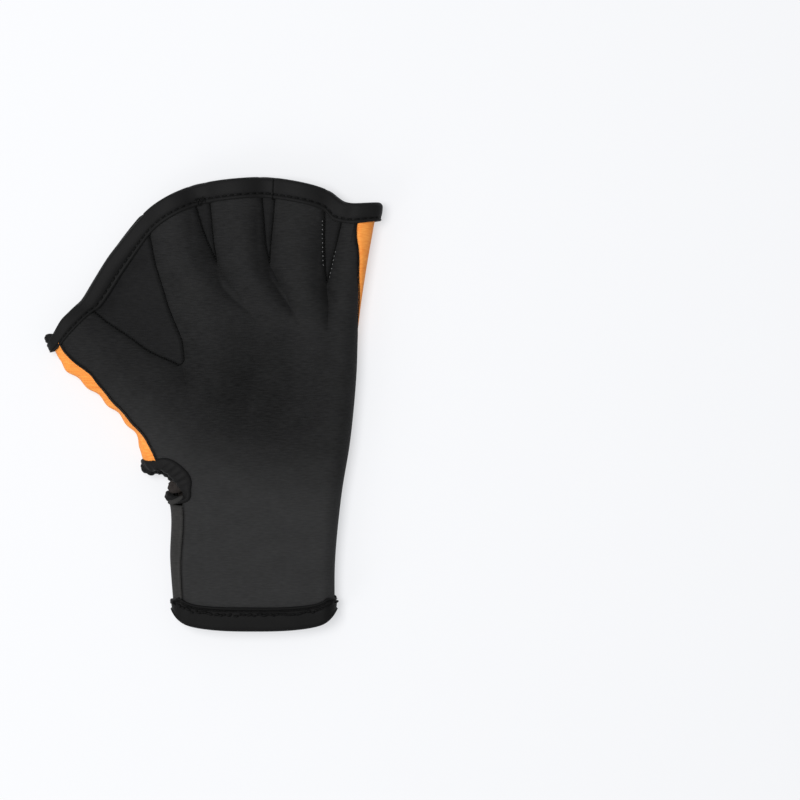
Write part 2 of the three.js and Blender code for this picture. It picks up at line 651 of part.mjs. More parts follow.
const black = (shade, roughness) => new THREE.MeshStandardMaterial({ color: shade, roughness, metalness: 0 });
const PALM_BLACK = black(0x2b2b2b, 0.85);
const WRIST_BLACK = black(0x343434, 0.85);
const WEB_BLACK = black(0x262626, 0.85);
const TAPE_BLACK = black(0x1b1b1b, 0.6);
const ORANGE = new THREE.MeshStandardMaterial({ color: 0xff9a45, roughness: 0.75, metalness: 0 });

const pieces = [
  ["palm_panel", palmPanel(), PALM_BLACK],
  ["back_panel", backPanel(), ORANGE],
  ["wrist_panel", wristPanel(), WRIST_BLACK],
  ["thumb_web", webPanel(0, THUMB_WEB_STEPS), WEB_BLACK],
  ["index_web", webPanel(1, FINGER_WEB_STEPS), WEB_BLACK],
  ["middle_web", webPanel(2, FINGER_WEB_STEPS), WEB_BLACK],
  ["ring_web", webPanel(3, FINGER_WEB_STEPS), WEB_BLACK],
  ["finger_binding", fingerBinding(), TAPE_BLACK],
  ["cuff_binding", cuffBinding(), TAPE_BLACK],
  ["keyhole_binding", keyholeBinding(), TAPE_BLACK],
];

const glove = new THREE.Group();
const bounds = new THREE.Box3();
for (const [name, geometry, material] of pieces) {
  const mesh = new THREE.Mesh(geometry, material);
  mesh.name = name;
  glove.add(mesh);
  geometry.computeBoundingBox();
  bounds.union(geometry.boundingBox);
}
// The origin lies under the middle of the glove, on the table
const middle = bounds.getCenter(new THREE.Vector3());
glove.position.set(-middle.x, -middle.y, -bounds.min.z);

export default glove;
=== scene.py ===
"""Webbed neoprene glove for the left hand, lying palm up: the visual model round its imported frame.

Sizes are in millimetres inside the classes and become metres when a mesh is made.
X runs to the little finger side, Y to the fingertips and Z up from the table.
"""

from __future__ import annotations

import logging
import math
from contextlib import contextmanager
from dataclasses import dataclass, field
from enum import Enum
from typing import Callable, Iterator, Sequence

import bmesh
import bpy
import numpy as np
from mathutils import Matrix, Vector

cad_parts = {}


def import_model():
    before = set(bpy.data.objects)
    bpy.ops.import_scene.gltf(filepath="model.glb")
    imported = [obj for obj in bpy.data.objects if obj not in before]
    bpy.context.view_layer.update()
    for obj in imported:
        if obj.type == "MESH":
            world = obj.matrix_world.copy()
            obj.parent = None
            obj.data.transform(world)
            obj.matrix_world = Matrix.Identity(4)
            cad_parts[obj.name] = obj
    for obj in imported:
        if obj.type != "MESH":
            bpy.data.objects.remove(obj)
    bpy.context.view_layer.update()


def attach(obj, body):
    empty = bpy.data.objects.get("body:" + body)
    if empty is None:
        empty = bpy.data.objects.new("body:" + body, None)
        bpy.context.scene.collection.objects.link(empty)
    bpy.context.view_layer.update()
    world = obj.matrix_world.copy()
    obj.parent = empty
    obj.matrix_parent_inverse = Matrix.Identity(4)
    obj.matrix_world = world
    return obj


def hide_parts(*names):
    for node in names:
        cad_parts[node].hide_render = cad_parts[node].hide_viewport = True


LOG = logging.getLogger("glove")
MM = 0.001
CROWN = math.pi / 2
BODY = "root"
FAR = 1e9
TINY = 1e-9
THUMB, LITTLE = 0, 4
INNER_HALVES = tuple((k, side) for k in range(LITTLE + 1) for side in (-1, 1)
                     if (k, side) not in ((THUMB, -1), (LITTLE, 1)))
THUMB_APEX = 0.6133
FINGER_APEX = 0.838
APEX_RUN = 0.018
KEYHOLE_CUT = math.radians(-36)
RING_SPACING = 0.55
JOINT_X, TACK_X = 31.3, -6.7
TACK_ZIGZAG = ((-4, -2.2), (-1, 1.6), (1.5, -0.8), (-2.8, 0.2), (3.6, 0.9), (-0.5, -1.9), (2.4, 2.0),
               (-3.2, -0.9))
UPWARDS = np.array([0.0, 0.0, 1.0])


def ease(t: np.ndarray | float) -> np.ndarray:
    """Smooth step from 0 to 1."""
    c = np.clip(t, 0.0, 1.0)
    return c * c * (3.0 - 2.0 * c)


def mix(a: np.ndarray | float, b: np.ndarray | float, t: np.ndarray | float) -> np.ndarray:
    """Blend of a and b."""
    return a + (b - a) * t


def unit(vectors: np.ndarray) -> np.ndarray:
    """Vectors along the last axis, scaled to length 1."""
    return vectors / np.maximum(np.linalg.norm(vectors, axis=-1, keepdims=True), 1e-12)


def run_along(points: np.ndarray) -> np.ndarray:
    """Length run from the first point of a line to each of its points."""
    return np.concatenate([[0], np.cumsum(np.linalg.norm(np.diff(points, axis=0), axis=1))])


def laid_at(at: np.ndarray, run: np.ndarray, rows: np.ndarray) -> np.ndarray:
    """Rows of numbers read off at other places along their run."""
    return np.stack([np.interp(at, run, rows[:, c]) for c in range(rows.shape[1])], -1)


def cubic(t: np.ndarray, start: np.ndarray, leave: np.ndarray, end: np.ndarray,
          arrive: np.ndarray) -> np.ndarray:
    """Cubic curve from start to end.

    Args:
        t: 0 at the start, 1 at the end.
        start: value at the start.
        leave: slope there.
        end: value at the end.
        arrive: slope there.

    Returns:
        The values at t.
    """
    return ((1 + 2 * t) * (1 - t) ** 2 * start + t * (1 - t) ** 2 * leave
            + t * t * (3 - 2 * t) * end + t * t * (t - 1) * arrive)


class Rule:
    """A value that follows rows of (station, value) smoothly and without overshoot."""

    def __init__(self, rows: Sequence[tuple[float, float]]) -> None:
        """Keeps the rows and works out the slope at each.

        Args:
            rows: stations in rising order, each with its value.
        """
        self.x = np.array([row[0] for row in rows], dtype=float)
        self.y = np.array([row[1] for row in rows], dtype=float)
        step = np.diff(self.x)
        rise = np.diff(self.y) / step
        slope = np.zeros_like(self.y)
        same = rise[:-1] * rise[1:] > 0
        w0, w1 = 2 * step[1:] + step[:-1], step[1:] + 2 * step[:-1]
        with np.errstate(divide="ignore", invalid="ignore"):
            inner = (w0 + w1) / (w0 / rise[:-1] + w1 / rise[1:])
        slope[1:-1] = np.where(same, inner, 0.0)
        slope[0], slope[-1] = rise[0], rise[-1]
        self.slope = slope

    def __call__(self, at: np.ndarray | float) -> np.ndarray:
        """Values at the stations given."""
        at = np.clip(np.asarray(at, dtype=float), self.x[0], self.x[-1])
        i = np.clip(np.searchsorted(self.x, at, side="right") - 1, 0, len(self.x) - 2)
        step = self.x[i + 1] - self.x[i]
        t = (at - self.x[i]) / step
        return cubic(t, self.y[i], step * self.slope[i], self.y[i + 1], step * self.slope[i + 1])


class Outline:
    """A smooth plan curve through points that carry their own stations."""

    def __init__(self, points: Sequence[tuple[float, float]], stations: Sequence[float]) -> None:
        """Works out a centripetal curve.

        Args:
            points: plan points in millimetres.
            stations: the station of each point, in rising order.
        """
        p = np.array(points, dtype=float)
        self.stations = np.array(stations, dtype=float)
        p = np.vstack([2 * p[0] - p[1], p, 2 * p[-1] - p[-2]])
        gap = np.sqrt(np.linalg.norm(np.diff(p, axis=0), axis=1))[:, None]
        d0, d1, d2 = gap[:-2], gap[1:-1], gap[2:]
        a, b, c, d = p[:-3], p[1:-2], p[2:-1], p[3:]
        self.start, self.end = b, c
        self.leave = ((b - a) / d0 - (c - a) / (d0 + d1) + (c - b) / d1) * d1
        self.arrive = ((c - b) / d1 - (d - b) / (d1 + d2) + (d - c) / d2) * d1

    def __call__(self, station: np.ndarray | float) -> np.ndarray:
        """Plan points at the stations given, x and y along the last axis."""
        at = np.clip(np.asarray(station, dtype=float), self.stations[0], self.stations[-1])
        i = np.clip(np.searchsorted(self.stations, at, side="right") - 1, 0, len(self.stations) - 2)
        t = ((at - self.stations[i]) / (self.stations[i + 1] - self.stations[i]))[..., None]
        return cubic(t, self.start[i], self.leave[i], self.end[i], self.arrive[i])


class Face(Enum):
    """The two faces of the glove."""

    PALM = 1
    BACK = -1


@dataclass(frozen=True)
class Fold:
    """A soft valley, or a ridge where its depth is negative, along a line in plan."""

    line: tuple[tuple[float, float], ...]
    depth: float
    width: float
    fade: float = 0.25
    power: float = 2.0
    open_start: float = 0.35

    def dip(self, x: np.ndarray, y: np.ndarray) -> np.ndarray:
        """How far the fold lowers the surface.

        Args:
            x: plan x in millimetres, in the glove's own frame.
            y: plan y likewise.

        Returns:
            Depth in millimetres at each point.
        """
        points = np.array(self.line, dtype=float)
        lengths = np.linalg.norm(np.diff(points, axis=0), axis=1)
        total, run = lengths.sum(), 0.0
        best = np.full(np.shape(x), FAR)
        share = np.zeros(np.shape(x))
        for i, length in enumerate(lengths):
            start, along = points[i], (points[i + 1] - points[i]) / length
            clipped = np.clip((x - start[0]) * along[0] + (y - start[1]) * along[1], 0, length)
            distance = np.hypot(x - start[0] - along[0] * clipped, y - start[1] - along[1] * clipped)
            closer = distance < best
            best = np.where(closer, distance, best)
            share = np.where(closer, (run + clipped) / total, share)
            run += length
        ends = ease(share / self.fade + self.open_start) * ease((1 - share) / self.fade)
        return self.depth * ends * np.exp(-((best / self.width) ** self.power))


@dataclass(frozen=True)
class Finger:
    """Where the fingertip edge of one finger begins and ends, in shares of the glove's size."""

    name: str
    start: tuple[float, float]
    end: tuple[float, float]


@dataclass(frozen=True)
class Border:
    """The line between two fingers, and the gusset that parts it above its apex."""

    web: str
    apex: float
    bow_low: float
    bow_high: float
    path: tuple[tuple[float, float], ...]
    low_seam: tuple[tuple[float, float], ...] = ()
    high_seam: tuple[tuple[float, float], ...] = ()


@dataclass
class GloveForm:
    """The glove's skin, worked out from its named sizes. Every piece lies on it."""

    across: float = 174.2
    tall: float = 235.6
    shift: tuple[float, float] = (86.93894, 117.55178)
    cuff_drop: float = 10.4
    cuff_bow: float = 2.8
    cuff_corner: float = 14.0
    corner_share: float = 0.55
    plain_bow: float = 5.0
    palm_rise: float = 12.0
    back_drop: float = 9.8
    seam_plane: float = 7.5
    thumb_round: float = 13.0
    little_round: float = 10.0
    wall: float = 2.2
    tape: float = 0.9
    tape_room: float = 1.8
    keyhole_room: float = 2.6
    crease_rise: float = 1.3
    web_sag: float = 2.2
    web_hollow: float = 0.4
    crease_fade: float = 0.13
    lens: float = 0.16
    pucker: float = 0.7
    web_lift: float = 3.6
    roll: float = 0.75
    pucker_pitch: float = 14.0
    pucker_ends: tuple[float, float, float] = (0.42, 0.94, 0.06)
    pucker_fade: float = 38.0
    pucker_way: tuple[float, float] = (0.6, 0.8)
    roll_power: float = 1.15
    raised_from: tuple[float, float] = (0.88, 0.1)
    tuck_ends: tuple[float, float, float, float] = (0.19, 0.06, 0.49, 0.05)
    tuck_side: tuple[float, float] = (0.3, 0.15)
    seam_landing: float = 12.0
    border_angle: float = math.radians(25)
    keyhole_low: float = 0.28
    keyhole_high: float = 0.4
    thumb_side: tuple[tuple[float, float, float], ...] = (
        (0, 0.382, 0.0508), (0.12, 0.3716, 0.1545), (0.28, 0.3672, 0.287), (0.4, 0.2925, 0.373),
        (0.5, 0.2716, 0.426), (0.6, 0.2239, 0.4702), (0.75, 0.1403, 0.5276), (0.88, 0.0555, 0.5806),
        (1, 0.0179, 0.6313),
    )
    little_side: tuple[tuple[float, float, float], ...] = (
        (0, 0.8627, 0.0508), (0.12, 0.8642, 0.1545), (0.28, 0.8836, 0.3002), (0.4, 0.9075, 0.4084),
        (0.5, 0.9194, 0.4857), (0.6, 0.9284, 0.5695), (0.75, 0.9343, 0.6733), (0.88, 0.9552, 0.7877),
        (1, 0.99, 0.934),
    )
    fingers: tuple[Finger, ...] = (
        Finger("thumb", (0.0179, 0.6313), (0.1015, 0.7141)),
        Finger("index", (0.2955, 0.9128), (0.4299, 0.9702)),
        Finger("middle", (0.4836, 0.9801), (0.6388, 0.9912)),
        Finger("ring", (0.6866, 0.989), (0.8343, 0.9647)),
        Finger("little", (0.893, 0.936), (0.99, 0.934)),
    )
    borders: tuple[Border, ...] = (
        Border("thumb_web", THUMB_APEX, 0, 0, ((0, 0.24), (0.28, 0.27), (THUMB_APEX, 0.345)),
               ((THUMB_APEX, 0.345), (0.6165, 0.333), (0.6301, 0.321), (0.6718, 0.2852), (0.7205, 0.2542),
                (0.7916, 0.2259), (0.8621, 0.1974), (0.9351, 0.1635), (1, 0.117)),
               ((THUMB_APEX, 0.345), (0.6165, 0.356), (0.63, 0.3665), (0.6527, 0.3791), (0.6774, 0.3884),
                (0.7153, 0.3904), (0.7678, 0.3927), (0.8157, 0.399), (0.8632, 0.4021), (0.9163, 0.4012),
                (0.9535, 0.3985), (1, 0.396))),
        Border("index_web", FINGER_APEX, 0, 0.004,
               ((0, 0.45), (0.45, 0.54), (0.7, 0.632), (FINGER_APEX, 0.5793))),
        Border("middle_web", FINGER_APEX, 0, 0.003,
               ((0, 0.62), (0.45, 0.7), (0.73, 0.782), (FINGER_APEX, 0.7261))),
        Border("ring_web", FINGER_APEX, -0.004, 0.003,
               ((0, 0.8), (0.45, 0.84), (0.78, 0.905), (FINGER_APEX, 0.8932))),
    )
    palm_fullness: Rule = field(default_factory=lambda: Rule(
        ((0, 0.66), (0.07, 0.67), (0.16, 0.73), (0.28, 0.8), (0.45, 0.96), (0.6, 1), (0.72, 0.9),
         (0.8, 0.82), (0.89, 0.75), (1, 0.73))))
    back_flat: Rule = field(default_factory=lambda: Rule(
        ((0, 0), (0.07, 0), (0.16, 1), (0.8, 1), (0.89, 0), (1, 0))))
    thumb_seam_in: Rule = field(default_factory=lambda: Rule(
        ((0, 0.6), (0.17, 0.57), (0.28, 0.62), (0.3, 0.93), (0.325, 1.0), (0.355, 0.9), (0.4, 0.6),
         (0.43, 0.54), (0.48, 0.4), (0.57, 0.27), (0.66, 0.29), (0.75, 0.4), (0.8, 0.52), (0.86, 0.49),
         (0.93, 0.38), (1, 0.36))))
    little_seam_angle: Rule = field(default_factory=lambda: Rule(
        ((0, -38), (0.6, -38), (0.7, -20), (0.765, 12), (0.81, 22), (0.857, 41), (0.915, 60),
         (0.955, 81), (1, 88))))
    keyhole_back_angle: Rule = field(default_factory=lambda: Rule(
        ((0.28, -36), (0.2925, -44), (0.305, -49), (0.317, -59), (0.335, -74), (0.35, -76), (0.373, -65),
         (0.4, -26), (1, -26))))
    folds: tuple[Fold, ...] = (
        Fold(((2.0, 69.5), (3.0, 65.5), (5.8, 60.0), (12.5, 53.4), (20.3, 47.3), (29, 38)),
             3.2, 3.0, 0.6, 1.05),
        Fold(((28.9, 69.6), (29.3, 67.0), (31.0, 63.6), (36.5, 55.8), (42.7, 47.3), (48, 38)),
             3.2, 3.0, 0.6, 1.05),
        Fold(((59.4, 60.6), (60.2, 57.8), (64.0, 52.0), (69.2, 46.3)), 1.8, 2.6, 0.6, 1.1),
        Fold(((-16.5, 22.6), (-9, 19), (6, 7)), 1.3, 3.5, 0.5, 1.5),
        Fold(((20.3, 46.3), (29, 30), (20, 4), (10, -12)), 3.6, 11.0, 0.4),
        Fold(((42, 40), (40, 12), (32, -12)), 1.8, 8.0, 0.4),
        Fold(((-24, -4), (-17, -24), (-4, -40)), -1.4, 10.0, 0.5),
        Fold(((-9.0, -46.5), (4, -48.5), (20, -46)), 0.8, 1.5, 0.5, 1.4),
        Fold(((-9.0, -48.5), (0, -53), (13, -58)), 0.7, 1.6, 0.5, 1.4),
        Fold(((-12, -38), (-2, -36), (12, -30)), 0.4, 2.0),
        Fold(((44, 60), (48, 48), (60, 34)), -1.0, 5.0, 0.4),
        Fold(((14, 66), (26, 50), (42, 36)), -1.0, 5.0, 0.4),
        Fold(((-12, 60), (0, 40), (14, 26)), -0.8, 7.0, 0.4),
    )

    def __post_init__(self) -> None:
        """Builds the outlines that the plan is blended from, and the fingers' borders."""
        scale = np.array([self.across, self.tall])
        self.left, self.right = (Outline([np.array(row[1:]) * scale for row in side],
                                         [row[0] for row in side])
                                 for side in (self.thumb_side, self.little_side))
        ends = np.array([point for f in self.fingers for point in (f.start, f.end)]) * scale
        run = run_along(ends)
        self.edge_share = run / run[-1]
        self.top = Outline(list(ends), list(self.edge_share))
        self.paths = [Rule(border.path) for border in self.borders]
        self.seams = [[Rule(rows) if rows else None for rows in (border.low_seam, border.high_seam)]
                      for border in self.borders]
        self.run_v = np.linspace(0, 1, 101)
        self.run = run_along(self.left(self.run_v))

    def plan(self, u: np.ndarray, v: np.ndarray, puckered: bool = True) -> np.ndarray:
        """Plan points of the patch between the four outlines.

        Args:
            u: 0 on the thumb side, 1 on the little finger side.
            v: 0 at the cuff, 1 at the finger edge.
            puckered: False leaves out the waves beside the thumb's seam and the cuff's tight corners.

        Returns:
            x and y in millimetres in the glove's own frame.
        """
        u, v = np.broadcast_arrays(np.clip(u, 0, 1), np.clip(v, 0, 1))
        a, b = u[..., None], v[..., None]
        start, end = self.left(0.0), self.right(0.0)
        cuff = mix(start, end, a)
        aside = np.abs(2 * u - 1)
        bend = aside ** self.plain_bow
        if puckered:
            bend = mix(aside ** self.cuff_bow, aside ** self.cuff_corner, self.corner_share)
        cuff = cuff - np.stack([0 * u, self.cuff_drop * (1 - bend)], -1)
        point = cuff * (1 - b) + self.top(u) * b + self.left(v) * (1 - a) + self.right(v) * a
        point = point - start * (1 - a) * (1 - b) - end * a * (1 - b)
        point = point - self.left(1.0) * (1 - a) * b - self.right(1.0) * a * b
        pucker = self.pucker if puckered else 0.0
        low, high, soft = self.pucker_ends
        swell = pucker * ease((v - low) / soft) * ease((high - v) / soft) * np.exp(-u * self.pucker_fade)
        wave = swell * np.sin(2 * np.pi * np.interp(v, self.run_v, self.run) / self.pucker_pitch)
        return point - wave[..., None] * np.array(self.pucker_way) - np.array(self.shift)

    def span(self, k: int, v: np.ndarray) -> tuple[np.ndarray, np.ndarray]:
        """The two borders of finger k at v, as u across the glove."""

        def border(index: int, high: bool) -> np.ndarray:
            """One border, below its apex and along its gusset's seam above it."""
            row = self.borders[index]
            t = np.clip((v - row.apex) / (1 - row.apex), 0, 1)
            edge = self.edge_share[2 * index + 2 if high else 2 * index + 1]
            seam = self.seams[index][int(high)]
            if seam:
                return np.where(v <= row.apex, self.paths[index](v),
                                mix(seam(v), edge, ease((t - 1) * self.seam_landing + 1)))
            bow = row.bow_high if high else row.bow_low
            return np.where(v <= row.apex, self.paths[index](v),
                            mix(row.path[-1][1], edge, t) + bow * 4 * t * (1 - t))

        v = np.asarray(v, dtype=float)
        low = border(k - 1, True) if k else np.zeros_like(v)
        high = border(k, False) if k < LITTLE else np.ones_like(v)
        return low, high

    def stretch(self, u: float, v: np.ndarray) -> np.ndarray:
        """Millimetres in plan for one unit of u beside an outline."""
        step = -0.02 if u > 0.5 else 0.02
        near, far = (self.plan(np.full_like(v, at), v, False) for at in (u, u + step))
        return np.linalg.norm(far - near, axis=-1) / abs(step)

    def crown(self, k: int, v: np.ndarray) -> np.ndarray:
        """u of the highest line of finger k."""
        v = np.asarray(v, dtype=float)
        if k == THUMB:
            return self.thumb_round / self.stretch(0.0, v)
        if k == LITTLE:
            return 1 - self.little_round / self.stretch(1.0, v)
        low, high = self.span(k, v)
        return (low + high) / 2

    def fullness(self, u: np.ndarray, v: np.ndarray, face: Face) -> np.ndarray:
        """Height of a face off the seam plane at a crown."""
        if face is Face.PALM:
            return self.palm_rise * self.palm_fullness(v) * (1 - self.lens * (2 * u - 1) ** 2)
        drop = mix(self.seam_plane - self.tape_room, self.back_drop, self.back_flat(v))
        low, low_soft, high, high_soft = self.tuck_ends
        lift = ease((v - low) / low_soft) * ease((high - v) / high_soft)
        lift = lift * ease((self.tuck_side[0] - u) / self.tuck_side[1])
        return mix(drop, self.seam_plane - self.keyhole_room, lift)

    def border_height(self, k: int, side: int, v: np.ndarray, face: Face) -> np.ndarray:
        """Height of a face off the seam plane where two fingers meet."""
        low, high = self.span(k, v)
        u = low if side < 0 else high
        apex = self.borders[k - 1 if side < 0 else k].apex
        crease = self.crease_rise + self.raised(v, face)
        return mix(crease, self.fullness(u, v, face), ease((apex - v) / self.crease_fade))

    def raised(self, v: np.ndarray, face: Face) -> np.ndarray:
        """How far the tape pulls a gusset up towards the fingers' crowns at its edge."""
        start, soft = self.raised_from
        return self.web_lift * ease((v - start) / soft) * (face is Face.PALM)

    def relief(self, plan: np.ndarray) -> np.ndarray:
        """How far the soft folds lower the palm face at plan points."""
        return sum(fold.dip(plan[..., 0], plan[..., 1]) for fold in self.folds)

    def across_finger(self, k: int, side: int, t: np.ndarray, v: np.ndarray, face: Face) -> np.ndarray:
        """Points between a finger's crown and its border with a neighbour.

        Args:
            k: the finger, 0 for the thumb.
            side: -1 towards the thumb, 1 towards the little finger.
            t: 0 on the crown, 1 on the border.
            v: along the hand.
            face: palm or back.

        Returns:
            Points in millimetres.
        """
        t, v = np.broadcast_arrays(np.asarray(t, dtype=float), np.asarray(v, dtype=float))
        low, high = self.span(k, v)
        crown = self.crown(k, v)
        u = mix(crown, low if side < 0 else high, t)
        c, s = math.cos(self.border_angle), math.sin(self.border_angle)
        rise = (np.sqrt(np.maximum(1 - (t * c) ** 2, 0)) - s) / (1 - s)
        rise = mix(rise, np.cos(t * CROWN) ** self.roll_power, self.roll * (face is Face.PALM))
        full = self.fullness(crown, v, face)
        height = mix(self.border_height(k, side, v, face), full, rise)
        return self.lay(u, v, height, face)

    def lay(self, u: np.ndarray, v: np.ndarray, height: np.ndarray, face: Face,
            share: np.ndarray | float = 1.0) -> np.ndarray:
        """Points over u, v at a height off the seam plane; share says how much relief they take."""
        plan = self.plan(u, v)
        if face is Face.PALM:
            z = self.seam_plane + height - self.relief(plan) * share
        else:
            z = np.maximum(self.seam_plane - height, 0)
        return np.concatenate([plan, z[..., None]], -1)

    def around(self, k: int, angle: np.ndarray, v: np.ndarray) -> np.ndarray:
        """Points round the thumb's or the little finger's rounded edge.

        Args:
            k: 0 for the thumb side, 4 for the little finger side.
            angle: 90 degrees on the palm's crown, 0 at the outline, below 0 on the back; in radians.
            v: along the hand.

        Returns:
            Points in millimetres; beyond a crown they run on over the face.
        """
        angle, v = np.broadcast_arrays(np.asarray(angle, dtype=float), np.asarray(v, dtype=float))
        crown = self.crown(k, v)
        low, high = self.span(k, v)
        edge, size = (0.0, self.thumb_round) if k == THUMB else (1.0, self.little_round)
        spare = ((high - crown) if k == THUMB else (crown - low)) * self.stretch(edge, v)
        beyond = np.clip(-np.cos(angle) * size / spare, 0, 1)
        points = np.empty(angle.shape + (3,))
        for face, chosen in ((Face.PALM, angle >= 0), (Face.BACK, angle < 0)):
            full = self.fullness(crown, v, face)
            u = mix(crown, edge, np.maximum(np.cos(angle), 0))
            rim = self.lay(u, v, full * np.abs(np.sin(angle)), face, np.sin(angle) ** 2)
            over = self.across_finger(k, 1 if k == THUMB else -1, beyond, v, face)
            points = np.where((chosen & (np.cos(angle) >= 0))[..., None], rim, points)
            points = np.where((chosen & (np.cos(angle) < 0))[..., None], over, points)
        return points

    def web(self, index: int, w: np.ndarray, v: np.ndarray, face: Face) -> np.ndarray:
        """Points of a gusset's face at w across it, from its lower finger to the next."""
        w, v = np.broadcast_arrays(np.asarray(w, dtype=float), np.asarray(v, dtype=float))
        apex = self.borders[index].apex
        u = mix(self.span(index, v)[1], self.span(index + 1, v)[0], w)
        sag = (self.web_sag if index == 0 else 0.0) * ease((v - apex) / (1 - apex))
        dip = (sag + self.web_hollow) * 4 * w * (1 - w)
        plan = self.plan(u, v)
        if face is Face.PALM:
            z = self.seam_plane + self.crease_rise + self.raised(v, face) - dip
        else:
            z = self.seam_plane - self.crease_rise - sag * 4 * w * (1 - w)
        return np.concatenate([plan, np.broadcast_to(z, w.shape)[..., None]], -1)

    def thumb_seam(self, v: np.ndarray) -> np.ndarray:
        """Angle of the palm panel's seam on the thumb side."""
        return np.arccos(1 - self.thumb_seam_in(v))

    def little_seam(self, v: np.ndarray) -> np.ndarray:
        """Angle of the palm panel's seam on the little finger side."""
        return np.radians(self.little_seam_angle(v))

    def keyhole_back(self, v: np.ndarray) -> np.ndarray:
        """Angle at which the keyhole cuts the back."""
        return np.radians(self.keyhole_back_angle(v))


@contextmanager
def reworked(mesh: bpy.types.Mesh) -> Iterator[bmesh.types.BMesh]:
    """Opens a mesh for editing and writes it back."""
    work = bmesh.new()
    work.from_mesh(mesh)
    yield work
    work.to_mesh(mesh)
    work.free()


def linked(name: str, data: bpy.types.ID) -> bpy.types.Object:
    """Makes an object and links it into the scene."""
    made = bpy.data.objects.new(name, data)
    bpy.context.collection.objects.link(made)
    return made


class Cloth:
    """Turns grids of points into meshes, welded where they meet."""

    degenerate = 1e-7

    def __init__(self) -> None:
        """Starts with no points."""
        self.points: list[np.ndarray] = []
        self.faces: list[tuple[int, int, int, int]] = []
        self.uvs: list[np.ndarray] = []
        self.count = 0

    def patch(self, grid: np.ndarray, uv: np.ndarray, flip: bool = False,
              skip: Callable[[int, int], bool] | None = None, closed: bool = False) -> None:
        """Adds a grid of quads.

        Args:
            grid: points in millimetres, rows by columns by 3.
            uv: places on the cloth in millimetres, rows by columns by 2.
            flip: turns the faces over.
            skip: says of a row and column whether its quad is left out.
            closed: joins the last row to the first.
        """
        rows, columns = grid.shape[:2]
        base = self.count
        self.points.append(grid.reshape(-1, 3))
        self.uvs.append(uv.reshape(-1, 2))
        self.count += rows * columns
        for r in range(rows if closed else rows - 1):
            for c in range(columns - 1):
                if skip and skip(r, c):
                    continue
                below = ((r + 1) % rows) * columns
                quad = (base + r * columns + c, base + r * columns + c + 1,
                        base + below + c + 1, base + below + c)
                self.faces.append(quad[::-1] if flip else quad)

    def piece(self, name: str, material: bpy.types.Material, weld: float = 0.004,
              lining: bpy.types.Material | None = None) -> bpy.types.Object:
        """Makes the mesh object.

        Args:
            name: the object's name.
            material: what it is made of.
            weld: distance in millimetres within which points become one.
            lining: what its inner side will show, where that differs.

        Returns:
            The object, at the origin, in metres.
        """
        points = np.concatenate(self.points) * MM
        uvs = np.concatenate(self.uvs) * MM
        mesh = bpy.data.meshes.new(name)
        mesh.from_pydata(points.tolist(), [], self.faces)
        layer = mesh.uv_layers.new(name="cloth")
        order = np.empty(len(mesh.loops), dtype=np.int32)
        mesh.loops.foreach_get("vertex_index", order)
        layer.data.foreach_set("uv", uvs[order].ravel())
        with reworked(mesh) as work:
            bmesh.ops.remove_doubles(work, verts=work.verts, dist=weld * MM)
            bmesh.ops.dissolve_degenerate(work, dist=self.degenerate, edges=work.edges)
        mesh.shade_smooth()
        mesh.materials.append(material)
        if lining:
            mesh.materials.append(lining)
        return linked(name, mesh)


def thicken(piece: bpy.types.Object, wall: float, lined_rim: bool = False) -> None:
    """Gives a sheet its wall, inwards from its outer face, and keeps the result in its mesh.

    Args:
        piece: the sheet.
        wall: thickness in millimetres.
        lined_rim: True where the cut edge shows the lining as well.
    """
    modifier = piece.modifiers.new("wall", "SOLIDIFY")
    modifier.thickness = wall * MM
    modifier.offset = -1.0
    modifier.use_even_offset = False
    modifier.use_rim = True
    if len(piece.data.materials) > 1:
        modifier.material_offset = 1
        modifier.material_offset_rim = int(lined_rim)
    bake(piece)


def bake(piece: bpy.types.Object) -> None:
    """Puts what a piece's modifiers make into its mesh and removes them."""
    shown = piece.evaluated_get(bpy.context.evaluated_depsgraph_get())
    mesh = bpy.data.meshes.new_from_object(shown)
    mesh.name = piece.name
    materials = [slot.material for slot in piece.material_slots]
    piece.modifiers.clear()
    piece.data = mesh
    if not mesh.materials:
        for material in materials:
            mesh.materials.append(material)


def crowded(steps: int, power: float = 2.0) -> np.ndarray:
    """Shares from 0 to 1 that crowd together towards 1."""
    return 1 - (1 - np.linspace(0, 1, steps + 1)) ** power


